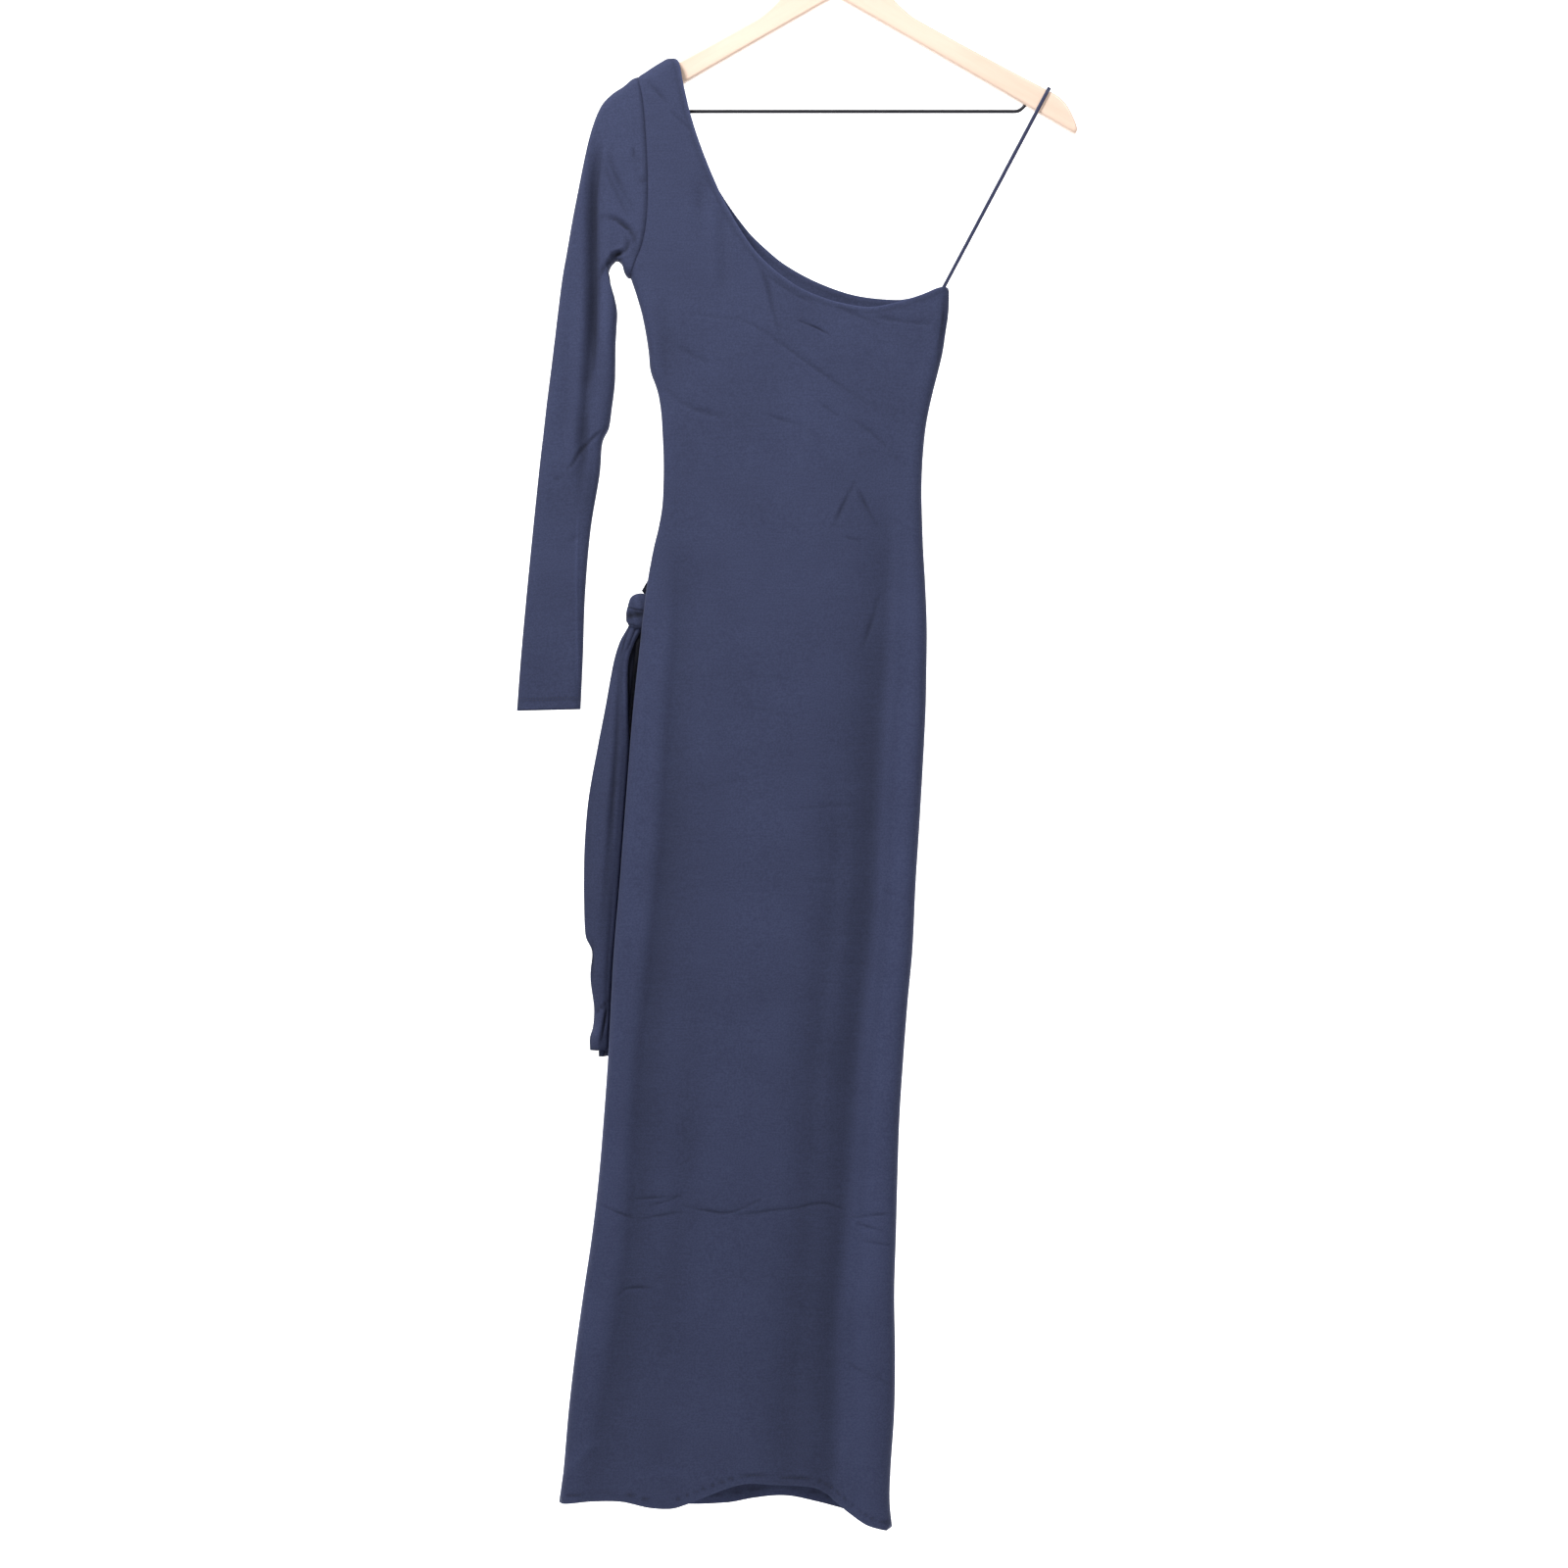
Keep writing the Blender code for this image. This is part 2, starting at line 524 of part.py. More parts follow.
def tail_point(row, s, behind):
    """A point of a tail, at the fraction s of its width; one that hangs behind the body lies on the back panel."""
    x = row.left + (row.right - row.left) * s
    y = row.back - row.fold * math.sin(math.pi * s)
    if behind and x > left_edge(1, row.z) - TAIL_REACH:
        y = max(y, panel_depth(1, x + TAIL_REACH, row.z) + TAIL_CLEARANCE)
    return (x, y, row.z)


def make_tail(name, rows, behind):
    """One hanging end of the tie: a strip folded softly along its middle."""
    bm = bmesh.new()
    shares = [i / TAIL_STEPS for i in range(TAIL_STEPS + 1)]
    loft(bm, [[tail_point(row, s, behind) for s in shares] for row in rows], False)
    obj = add_object(name, mesh_from(bm, name), "navy")
    add_wall(obj, TAIL_WALL)


def make_knot():
    bm = bmesh.new()
    bmesh.ops.create_uvsphere(bm, u_segments=16, v_segments=10, radius=1)
    for vertex in bm.verts:
        x, y, z = vertex.co
        swell = 1 + KNOT_SWELL * math.sin(3 * math.atan2(y, x) + 4 * z)
        vertex.co = Vector((KNOT_HALF[0] * x * swell, KNOT_HALF[1] * y, KNOT_HALF[2] * z)) * MM
    obj = add_object("tie_knot", mesh_from(bm, "tie_knot"), "navy")
    obj.location = Vector(KNOT_CENTRE) * MM


def make_band():
    """The tie's short end between the back's free edge and the knot."""
    bm = bmesh.new()
    start, end, across = Vector(BAND_START), Vector(BAND_END), Vector(BAND_ACROSS)
    rings = []
    for i in range(BAND_STEPS + 1):
        t = i / BAND_STEPS
        centre = start.lerp(end, t)
        half = BAND_HALF[0] + (BAND_HALF[1] - BAND_HALF[0]) * t
        rings.append([centre + across * half * s + Vector((0, BAND_CROWN * (1 - s * s), 0)) for s in BAND_PLACES])
    loft(bm, rings, False)
    obj = add_object("tie_band", mesh_from(bm, "tie_band"), "navy")
    add_wall(obj, TAIL_WALL)


def wire(name, points, radius, key, sides=2):
    """A round wire along a line of (x, z) places in the hanger's plane."""
    curve = bpy.data.curves.new(name, "CURVE")
    curve.dimensions = "3D"
    curve.bevel_depth = radius * MM
    curve.bevel_resolution = sides
    curve.use_fill_caps = True
    spline = curve.splines.new("POLY")
    spline.points.add(len(points) - 1)
    for point, (x, z) in zip(spline.points, points):
        point.co = (x * MM, 0, z * MM, 1)
    return add_object(name, curve, key)


def bar_points():
    """The bar under the arms, with each end bent up into the wood."""
    right = [(x, BAR_HEIGHT + up) for x, up in BAR_BEND]
    return [(-x, z) for x, z in reversed(right)] + right


def hook_points():
    """The stem out of the wood and the crook, which ends beyond the top on the other side."""
    centre = -HOOK_RADIUS + HOOK_WIRE
    points = list(HOOK_STEM)
    for i in range(CROOK_STEPS):
        angle = math.radians(CROOK_START + CROOK_STEP * i)
        points.append((HOOK_RADIUS * math.cos(angle), centre + HOOK_RADIUS * math.sin(angle)))
    return points


def make_cutter(name, points, radius):
    obj = wire(name, points, radius, "steel", 3)
    mesh = solid_mesh(obj)
    bpy.data.objects.remove(obj)
    cutter = bpy.data.objects.new(name, mesh)
    bpy.data.collections["cutters"].objects.link(cutter)
    cutter.hide_render = True
    cutter.display_type = "WIRE"
    return cutter


def solid_mesh(obj):
    """The curve's mesh with its caps welded on."""
    graph = bpy.context.evaluated_depsgraph_get()
    mesh = bpy.data.meshes.new_from_object(obj.evaluated_get(graph))
    bm = bmesh.new()
    bm.from_mesh(mesh)
    bmesh.ops.remove_doubles(bm, verts=bm.verts, dist=1e-6)
    bmesh.ops.recalc_face_normals(bm, faces=bm.faces)
    bm.to_mesh(mesh)
    bm.free()
    return mesh


def make_arms():
    """The flat wooden arms: one board with rounded edges, bored for the hook's stem and the bar's ends."""
    half = [(p.x, p.z) for p in ARM_HALF]
    outline = half + [(-x, z) for x, z in reversed(half[1:])]
    curve = bpy.data.curves.new("hanger_arms", "CURVE")
    curve.dimensions = "2D"
    curve.fill_mode = "BOTH"
    curve.extrude = (ARM_HALF_THICKNESS - ARM_BEVEL) * MM
    curve.bevel_depth = ARM_BEVEL * MM
    curve.bevel_resolution = 2
    curve.offset = -ARM_BEVEL * MM
    spline = curve.splines.new("POLY")
    spline.use_cyclic_u = True
    spline.points.add(len(outline) - 1)
    for point, (x, z) in zip(spline.points, outline):
        point.co = (x * MM, z * MM, 0, 1)
    board = bpy.data.objects.new("board", curve)
    bpy.context.scene.collection.objects.link(board)
    board.rotation_euler = (math.pi / 2, 0, 0)
    bpy.context.view_layer.update()
    mesh = solid_mesh(board)
    mesh.transform(board.matrix_world)
    bpy.data.objects.remove(board)
    arms = add_object("hanger_arms", mesh, "wood")
    holes = [("stem_hole", STEM_HOLE, HOOK_WIRE)]
    for sign in (-1, 1):
        ends = [p for p in bar_points() if p[0] * sign > BAR_HOLE_FROM]
        inner, outer = sorted(ends, key=lambda p: abs(p[0]))
        along = Vector((outer[0] - inner[0], outer[1] - inner[1])).normalized()
        start = (inner[0] - along.x * HOLE_LEAD, inner[1] - along.y * HOLE_LEAD)
        end = (outer[0] + along.x, outer[1] + along.y)
        holes.append(("bar_hole_right" if sign > 0 else "bar_hole_left", [start, end], BAR_WIRE))
    for name, points, radius in holes:
        cut = arms.modifiers.new(name, "BOOLEAN")
        cut.operation = "DIFFERENCE"
        cut.object = make_cutter(name, points, radius + HOLE_ROOM)


def make_loop():
    """The ribbon from the right underarm over the hanger's arm and back."""
    foot, top = Vector((LOOP_FOOT.x, LOOP_FOOT.z)), Vector((LOOP_TOP.x, LOOP_TOP.z))
    up = (top - foot).normalized()
    across = Vector((up.y, -up.x))
    length = (top - foot).length
    apart = ARM_HALF_THICKNESS + SEAM_GAP + LOOP_WALL
    side = [(0.0, LOOP_FOOT_HALF), (length - LOOP_BESIDE_ARM, apart)]
    side += [(length - down, apart - closed_in) for down, closed_in in LOOP_OVER_ARM]
    path = side + [(s, -y) for s, y in reversed(side)]
    bm = bmesh.new()
    rings = []
    for s, y in path:
        centre = foot + up * s
        rings.append(
            [(centre.x + across.x * w, y, centre.y + across.y * w) for w in (-LOOP_WIDTH / 2, LOOP_WIDTH / 2)]
        )
    made = loft(bm, rings, False)
    bm.faces.new((made[-1][0], made[-1][1], made[0][1], made[0][0]))
    bmesh.ops.recalc_face_normals(bm, faces=bm.faces)
    obj = add_object("hanging_loop", mesh_from(bm, "hanging_loop"), "ribbon")
    add_wall(obj, LOOP_WALL)


def main():
    for obj in list(bpy.data.objects):
        bpy.data.objects.remove(obj)
    for name in ("one_shoulder_dress", "cutters"):
        bpy.context.scene.collection.children.link(bpy.data.collections.new(name))
    make_panel("front", -1)
    make_panel("back", 1)
    make_sleeve()
    make_band()
    make_knot()
    make_tail("tie_tail_outer", OUTER_TAIL, False)
    make_tail("tie_tail_inner", INNER_TAIL, True)
    make_loop()
    make_arms()
    wire("hanger_bar", bar_points(), BAR_WIRE, "steel")
    wire("hanger_hook", hook_points(), HOOK_WIRE, "chrome")


main()
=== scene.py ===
# Looks of the one-shoulder dress and its hanger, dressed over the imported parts.
# The front faces -Y, the origin is the inside top of the hook, and sizes are in millimetres
# unless a note says otherwise.
import math

import bmesh
import bpy
import numpy as np
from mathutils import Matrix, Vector, noise
from mathutils.geometry import delaunay_2d_cdt


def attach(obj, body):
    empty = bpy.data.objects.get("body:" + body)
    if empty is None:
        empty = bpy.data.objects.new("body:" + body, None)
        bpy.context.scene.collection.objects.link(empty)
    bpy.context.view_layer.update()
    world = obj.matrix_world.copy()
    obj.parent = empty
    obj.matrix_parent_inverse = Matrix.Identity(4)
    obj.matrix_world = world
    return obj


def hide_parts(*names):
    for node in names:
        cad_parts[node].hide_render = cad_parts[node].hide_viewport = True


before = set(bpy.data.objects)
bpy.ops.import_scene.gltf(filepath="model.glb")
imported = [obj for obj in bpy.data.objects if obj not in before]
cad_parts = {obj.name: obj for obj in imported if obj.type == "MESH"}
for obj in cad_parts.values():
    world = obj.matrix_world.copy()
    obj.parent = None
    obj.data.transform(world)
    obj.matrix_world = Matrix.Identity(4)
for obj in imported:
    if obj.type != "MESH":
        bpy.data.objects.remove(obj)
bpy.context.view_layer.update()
mm = 0.001
print("frame loaded")

# The camera looks straight at the dress, as the photograph does
picture = {
    "middleX": -49.7,  # what the picture's centre looks at
    "middleZ": -859.0,
    "width": 1504.0,  # width of the picture at the dress
    "distance": 3200.0,
    "sensor": 36.0,
}
lights = {
    # place, place it looks at, size, watts (metres)
    "key": ((-1.05, -1.25, 0.9), (-0.1, 0.0, -0.3), (0.6, 0.9), 51.0),
    "fill": ((1.3, -1.6, 0.9), (0.0, 0.0, -0.3), (0.8, 0.8), 25.0),
}
world = {"colour": (1.0, 1.0, 1.0, 1), "strength": 0.12}
studio = {
    "floorZ": -1750.0,
    "frontY": -4200.0,
    "wallY": 1500.0,
    "wallTop": 3200.0,
    "bend": 900.0,
    "bendSteps": 16,
    "halfWidth": 4500.0,
    "glow": 0.85,  # the paper behind the dress is lit from its back, so that it stays plain white
    "glowFrom": 0.1,  # in metres, where that light starts and is full
    "glowFull": 0.5,
}


def makeCamera():
    data = bpy.data.cameras.new("camera")
    data.sensor_width = picture["sensor"]
    data.lens = picture["sensor"] * picture["distance"] / picture["width"]
    data.clip_end = 50
    camera = bpy.data.objects.new("camera", data)
    camera.location = Vector((picture["middleX"], -picture["distance"], picture["middleZ"])) * mm
    camera.rotation_euler = (math.pi / 2, 0, 0)
    bpy.context.scene.collection.objects.link(camera)
    bpy.context.scene.camera = camera


def makeLights():
    for name, (place, target, size, watts) in lights.items():
        data = bpy.data.lights.new(name, "AREA")
        data.shape = "RECTANGLE"
        data.size, data.size_y = size
        data.energy = watts
        light = bpy.data.objects.new(name, data)
        light.location = place
        light.rotation_euler = (Vector(target) - Vector(place)).to_track_quat("-Z", "Y").to_euler()
        bpy.context.scene.collection.objects.link(light)
    room = bpy.data.worlds.new("studio")
    room.use_nodes = True
    room.node_tree.nodes["Background"].inputs["Color"].default_value = world["colour"]
    room.node_tree.nodes["Background"].inputs["Strength"].default_value = world["strength"]
    bpy.context.scene.world = room
    bpy.context.scene.view_settings.view_transform = "Standard"


def smoothValue(xs, ys, x):
    # a smooth curve through the points; the slope at each comes from its two neighbours
    xs, ys = np.asarray(xs, float), np.asarray(ys, float)
    x = np.clip(x, xs[0], xs[-1])
    below = np.maximum(np.arange(len(xs)) - 1, 0)
    above = np.minimum(np.arange(len(xs)) + 1, len(xs) - 1)
    slope = (ys[above] - ys[below]) / (xs[above] - xs[below])
    i = np.clip(np.searchsorted(xs, x, side="right") - 1, 0, len(xs) - 2)
    step = xs[i + 1] - xs[i]
    t = (x - xs[i]) / step
    level = (1 + 2 * t) * (1 - t) ** 2 * ys[i] + t * t * (3 - 2 * t) * ys[i + 1]
    return level + step * t * (1 - t) * ((1 - t) * slope[i] - t * slope[i + 1])


def atHeight(rows, column, z):
    # one column of a table whose rows run downwards
    table = np.array(rows, float)
    return smoothValue(-table[:, 0], table[:, column], -np.asarray(z, float))


def fineLine(points, step):
    points = np.array(points, float)
    lengths = np.hypot(*np.diff(points, axis=0).T)
    at = np.concatenate([[0.0], np.cumsum(lengths)])
    fine = np.linspace(0.0, at[-1], max(2, round(at[-1] / step) + 1))
    return np.column_stack([smoothValue(at, points[:, k], fine) for k in range(points.shape[1])])


def rise(distance, width, power=2.4):
    # a quarter round, a little fuller than a circle: 0 at a seam and 1 from that width on
    q = 1 - np.clip(np.asarray(distance, float) / width, 0, 1)
    return (1 - q**power) ** (1 / power)


def bell(x):
    return np.exp(-x * x)


def nearLine(line, x, z):
    # distance to a line, the side of it (1 or -1) and the share of its length at the nearest point
    best = np.full(len(x), 1e9)
    side = np.ones(len(x))
    share = np.zeros(len(x))
    for k, (a, b) in enumerate(zip(line, line[1:])):
        dx, dz = b - a
        t = np.clip(((x - a[0]) * dx + (z - a[1]) * dz) / (dx * dx + dz * dz), 0, 1)
        offX, offZ = x - a[0] - t * dx, z - a[1] - t * dz
        distance = np.hypot(offX, offZ)
        closer = distance < best
        best[closer] = distance[closer]
        side[closer] = np.where(dx * offZ - dz * offX >= 0, 1.0, -1.0)[closer]
        share[closer] = ((k + t) / (len(line) - 1))[closer]
    return best, side, share


creaseForm = {
    "reach": 3.4,  # in half widths, as far as a crease moves the cloth
    "fineStep": 3.0,
    "blunt": 0.7,  # how soon a crease reaches its depth from its ends
    "uneven": 0.25,
    "lip": 0.3,  # the cloth rises by this share of the depth beside a crease
    "lipAt": 2.0,
    "lipWidth": 0.8,
    "paintedShadeSharp": 1.15,
}
foldForm = {
    "lip": 0.16,
    "lipAt": 2.1,
    "lipWidth": 0.8,
    "fullDepth": 14.0,  # a fold as deep as this gets painted shade 1
    "paintedShadeSharp": 1.1,
    "crestFrom": 0.2,  # folds that lean more than this get a painted highlight along their crest, chiefly on their steep side
    "crestSteep": 2.2,
    "crestGentle": 0.3,
    "crestAt": 4.2,
    "crestWidth": 2.4,
}


def creaseRelief(x, z, creases):
    # how far the given creases sink the cloth, and the painted shade in them
    total, paintedShade = np.zeros(len(x)), np.zeros(len(x))
    for index, (points, width, depth, lean) in enumerate(creases):
        line = fineLine(points, max(creaseForm["fineStep"], width))
        reach = creaseForm["reach"] * width
        low, high = line.min(axis=0) - reach, line.max(axis=0) + reach
        near = (x > low[0]) & (x < high[0]) & (z > low[1]) & (z < high[1])
        if not near.any():
            continue
        distance, side, share = nearLine(line, x[near], z[near])
        u = distance / (width * (1 + lean * side))
        taper = np.sin(np.pi * share) ** creaseForm["blunt"]
        amount = depth * taper * (1 + creaseForm["uneven"] * np.sin(9 * share + 2.1 * index))
        lip = creaseForm["lip"] * bell((u - creaseForm["lipAt"]) / creaseForm["lipWidth"])
        total[near] += amount * (bell(u) - lip)
        # painted shade along the crease, deepest in its middle
        paintedShade[near] += amount / width * bell(creaseForm["paintedShadeSharp"] * u)
    return total, paintedShade


def waviness(x, z, size, seed):
    # slow unevenness of hanging cloth, longer down than across
    flow = [noise.noise(Vector((a / size, b / (3.2 * size), seed))) for a, b in zip(x, z)]
    return np.array(flow)


def foldRelief(folds, x, z):
    # how far the long folds sink the cloth, and the painted shade in them, with a painted highlight on a
    # leaning fold's crest
    total, paintedShade = np.zeros(len(x)), np.zeros(len(x))
    for lean, rows in folds:
        depth = np.where(z <= rows[0][0], atHeight(rows, 3, z), 0.0)
        off = x - atHeight(rows, 1, z)
        width = atHeight(rows, 2, z) * (1 + lean * np.sign(off))
        across = np.abs(off) / width
        lip = foldForm["lip"] * bell((across - foldForm["lipAt"]) / foldForm["lipWidth"])
        total += depth * (bell(across) - lip)
        # painted highlight on the crest beside a leaning fold
        steep = np.where(off * lean < 0, foldForm["crestSteep"], foldForm["crestGentle"])
        crest = np.clip(np.abs(lean) - foldForm["crestFrom"], 0, 0.4) * steep
        crest = crest * bell((across - foldForm["crestAt"]) / foldForm["crestWidth"])
        paintedShade += depth / foldForm["fullDepth"] * (bell(foldForm["paintedShadeSharp"] * across) - crest)
    return total, paintedShade


def addShade(mesh, paintedShade):
    # one number a point, for the material: painted shade above 0 in a crease or gap, a painted highlight
    # below 0 along an edge or crest
    shade = mesh.attributes.new("paintedShade", "FLOAT", "POINT")
    shade.data.foreach_set("value", np.clip(paintedShade, -1.0, 1.6).astype(np.float32))


def addPiece(name, mesh, material, nodes=()):
    piece = bpy.data.objects.new(name, mesh)
    bpy.context.scene.collection.objects.link(piece)
    if material is not None:
        mesh.materials.append(material)
    mesh.shade_smooth()
    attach(piece, "root")
    if nodes:
        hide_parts(*nodes)
    return piece


def addShell(piece, thickness):
    # gives an open sheet whose normals face out its thickness, on the inner side
    shell = piece.modifiers.new("thickness", "SOLIDIFY")
    shell.thickness = thickness * mm
    shell.offset = -1
    shell.use_rim = True


def meshFrom(name, points, faces):
    mesh = bpy.data.meshes.new(name)
    mesh.from_pydata([tuple(p) for p in np.asarray(points) * mm], [], faces)
    mesh.update()
    return mesh


def gridFaces(rows, columns, closed=False):
    faces = []
    for r in range(rows - 1):
        for c in range(columns if closed else columns - 1):
            d = (c + 1) % columns
            faces.append((r * columns + c, r * columns + d, (r + 1) * columns + d, (r + 1) * columns + c))
    return faces


def surfaceArea(piece):
    return sum(face.area for face in piece.data.polygons)


def newGroup(name, inputs, outputs):
    group = bpy.data.node_groups.new(name, "ShaderNodeTree")
    for socket, kind, value in inputs:
        made = group.interface.new_socket(socket, in_out="INPUT", socket_type=kind)
        made.default_value = value
    for socket, kind in outputs:
        group.interface.new_socket(socket, in_out="OUTPUT", socket_type=kind)
    return group, group.nodes.new("NodeGroupInput"), group.nodes.new("NodeGroupOutput")


def addNode(tree, kind, **settings):
    node = tree.nodes.new("ShaderNode" + kind)
    for key, value in settings.items():
        setattr(node, key, value)
    return node


def mathNode(tree, operation, first, second=None):
    node = addNode(tree, "Math", operation=operation)
    for socket, value in zip(node.inputs, (first, second)):
        if value is None:
            continue
        if isinstance(value, (int, float)):
            socket.default_value = value
        else:
            tree.links.new(value, socket)
    return node.outputs[0]


knitForm = {
    "legLean": 1.2,
    "loopHeight": 0.35,
    "fuzzScale": 620,
    "streakScale": (50, 50, 850),  # yarns of slightly different tone run across
}


def makeKnitGroup():
    # fine jersey: columns of small V stitches, with a slow and a fine unevenness of the yarn
    group, given, put = newGroup(
        "knit",
        [
            ("Turn", "NodeSocketFloat", 0.0),
            ("Wale", "NodeSocketFloat", 0.0009),
            ("Course", "NodeSocketFloat", 0.0011),
            ("Slow Size", "NodeSocketFloat", 0.06),
        ],
        [
            ("Height", "NodeSocketFloat"),
            ("Shade", "NodeSocketFloat"),
            ("Fuzz", "NodeSocketFloat"),
            ("Streak", "NodeSocketFloat"),
        ],
    )
    link = group.links.new
    place = addNode(group, "TexCoord")
    turned = addNode(group, "VectorRotate", rotation_type="Y_AXIS")
    link(place.outputs["Object"], turned.inputs["Vector"])
    link(given.outputs["Turn"], turned.inputs["Angle"])
    axes = addNode(group, "SeparateXYZ")
    link(turned.outputs["Vector"], axes.inputs["Vector"])
    across = mathNode(group, "DIVIDE", axes.outputs["X"], given.outputs["Wale"])
    down = mathNode(group, "DIVIDE", axes.outputs["Z"], given.outputs["Course"])
    leg = mathNode(group, "ABSOLUTE", mathNode(group, "SINE", mathNode(group, "MULTIPLY", across, math.pi)))
    lean = mathNode(group, "PINGPONG", across, 0.5)
    slanted = mathNode(group, "ADD", down, mathNode(group, "MULTIPLY", lean, knitForm["legLean"]))
    loop = mathNode(group, "SINE", mathNode(group, "MULTIPLY", slanted, 2 * math.pi))
    stitch = mathNode(group, "ADD", leg, mathNode(group, "MULTIPLY", loop, knitForm["loopHeight"]))
    link(stitch, put.inputs["Height"])
    slow = addNode(group, "TexNoise")
    slow.inputs["Detail"].default_value = 3
    link(place.outputs["Object"], slow.inputs["Vector"])
    link(mathNode(group, "DIVIDE", 1.0, given.outputs["Slow Size"]), slow.inputs["Scale"])
    link(slow.outputs["Fac"], put.inputs["Shade"])
    fine = addNode(group, "TexNoise")
    fine.inputs["Scale"].default_value = knitForm["fuzzScale"]
    fine.inputs["Detail"].default_value = 2
    link(place.outputs["Object"], fine.inputs["Vector"])
    link(fine.outputs["Fac"], put.inputs["Fuzz"])
    squeezed = addNode(group, "Mapping")
    squeezed.inputs["Scale"].default_value = knitForm["streakScale"]
    link(turned.outputs["Vector"], squeezed.inputs["Vector"])
    yarn = addNode(group, "TexNoise")
    yarn.inputs["Scale"].default_value = 1.0
    yarn.inputs["Detail"].default_value = 2
    link(squeezed.outputs["Vector"], yarn.inputs["Vector"])
    link(yarn.outputs["Fac"], put.inputs["Streak"])
    return group


jerseyLook = {
    "deep": (0.0400, 0.0490, 0.1045, 1),
    "bright": (0.0455, 0.0560, 0.1185, 1),
    "fleck": 0.38,
    "fleckDark": (0.45, 0.45, 0.5, 1),
    "streak": 0.22,
    "paintedShadeDark": 0.6,  # painted shade: how much the base colour darkens where the painted shade value is 1
    "darkest": 0.25,
    "roughness": 0.85,
    "sheen": 0.10,
    "sheenRoughness": 0.45,
    "sheenTint": (0.62, 0.68, 0.95, 1),
    "specular": 0.25,
    "stitchStrength": 0.6,
    "stitchBump": 0.0001,  # metres
}


def makeJersey(name, knit, turn, tone=1.0):
    material = bpy.data.materials.new(name)
    material.use_nodes = True
    tree = material.node_tree
    shader = tree.nodes["Principled BSDF"]
    weave = addNode(tree, "Group", node_tree=knit)
    weave.inputs["Turn"].default_value = turn
    ramp = addNode(tree, "ValToRGB")
    ramp.color_ramp.elements[0].position = 0.3
    ramp.color_ramp.elements[1].position = 0.72
    for element, key in zip(ramp.color_ramp.elements, ("deep", "bright")):
        element.color = (*[c * tone for c in jerseyLook[key][:3]], 1)
    tree.links.new(weave.outputs["Shade"], ramp.inputs["Fac"])
    fleck = addNode(tree, "Mix", data_type="RGBA", blend_type="MULTIPLY")
    fleck.inputs["Factor"].default_value = jerseyLook["fleck"]
    tree.links.new(ramp.outputs["Color"], fleck.inputs["A"])
    grey = addNode(tree, "ValToRGB")
    grey.color_ramp.elements[0].position = 0.35
    grey.color_ramp.elements[0].color = jerseyLook["fleckDark"]
    grey.color_ramp.elements[1].position = 0.65
    tree.links.new(weave.outputs["Fuzz"], grey.inputs["Fac"])
    tree.links.new(grey.outputs["Color"], fleck.inputs["B"])
    # painted shade and painted highlight: the base colour darkens where a point's painted shade is above 0
    # and lightens where it is below 0, never darker than the darkest share
    paintedShade = addNode(tree, "Attribute", attribute_name="paintedShade")
    dark = mathNode(tree, "MULTIPLY", paintedShade.outputs["Fac"], -jerseyLook["paintedShadeDark"])
    streak = mathNode(tree, "SUBTRACT", weave.outputs["Streak"], 0.5)
    streak = mathNode(tree, "MULTIPLY", streak, jerseyLook["streak"])
    level = mathNode(tree, "ADD", mathNode(tree, "ADD", dark, streak), 1.0)
    level = mathNode(tree, "MAXIMUM", level, jerseyLook["darkest"])
    shaded = addNode(tree, "VectorMath", operation="SCALE")
    tree.links.new(fleck.outputs["Result"], shaded.inputs["Vector"])
    tree.links.new(level, shaded.inputs["Scale"])
    tree.links.new(shaded.outputs["Vector"], shader.inputs["Base Color"])
    bump = addNode(tree, "Bump")
    bump.inputs["Strength"].default_value = jerseyLook["stitchStrength"]
    bump.inputs["Distance"].default_value = jerseyLook["stitchBump"]
    tree.links.new(weave.outputs["Height"], bump.inputs["Height"])
    tree.links.new(bump.outputs["Normal"], shader.inputs["Normal"])
    shader.inputs["Roughness"].default_value = jerseyLook["roughness"]
    shader.inputs["Sheen Weight"].default_value = jerseyLook["sheen"]
    shader.inputs["Sheen Roughness"].default_value = jerseyLook["sheenRoughness"]
    shader.inputs["Sheen Tint"].default_value = jerseyLook["sheenTint"]
    shader.inputs["Specular IOR Level"].default_value = jerseyLook["specular"]
    return material


def makePlain(name, colour, roughness, metallic=0.0):
    material = bpy.data.materials.new(name)
    material.use_nodes = True
    shader = material.node_tree.nodes["Principled BSDF"]
    shader.inputs["Base Color"].default_value = colour
    shader.inputs["Roughness"].default_value = roughness
    shader.inputs["Metallic"].default_value = metallic
    return material


woodLook = {
    "plain": (0.8, 0.62, 0.46, 1),
    "dark": (0.84, 0.62, 0.49, 1),
    "light": (0.92, 0.71, 0.58, 1),
    "roughness": 0.4,
    "armSlope": math.radians(29),
    "grainScale": (9, 90, 110),
    "grainStrength": 0.15,
    "grainBump": 0.0002,  # metres
    "lacquer": 0.35,
    "lacquerRoughness": 0.2,
}


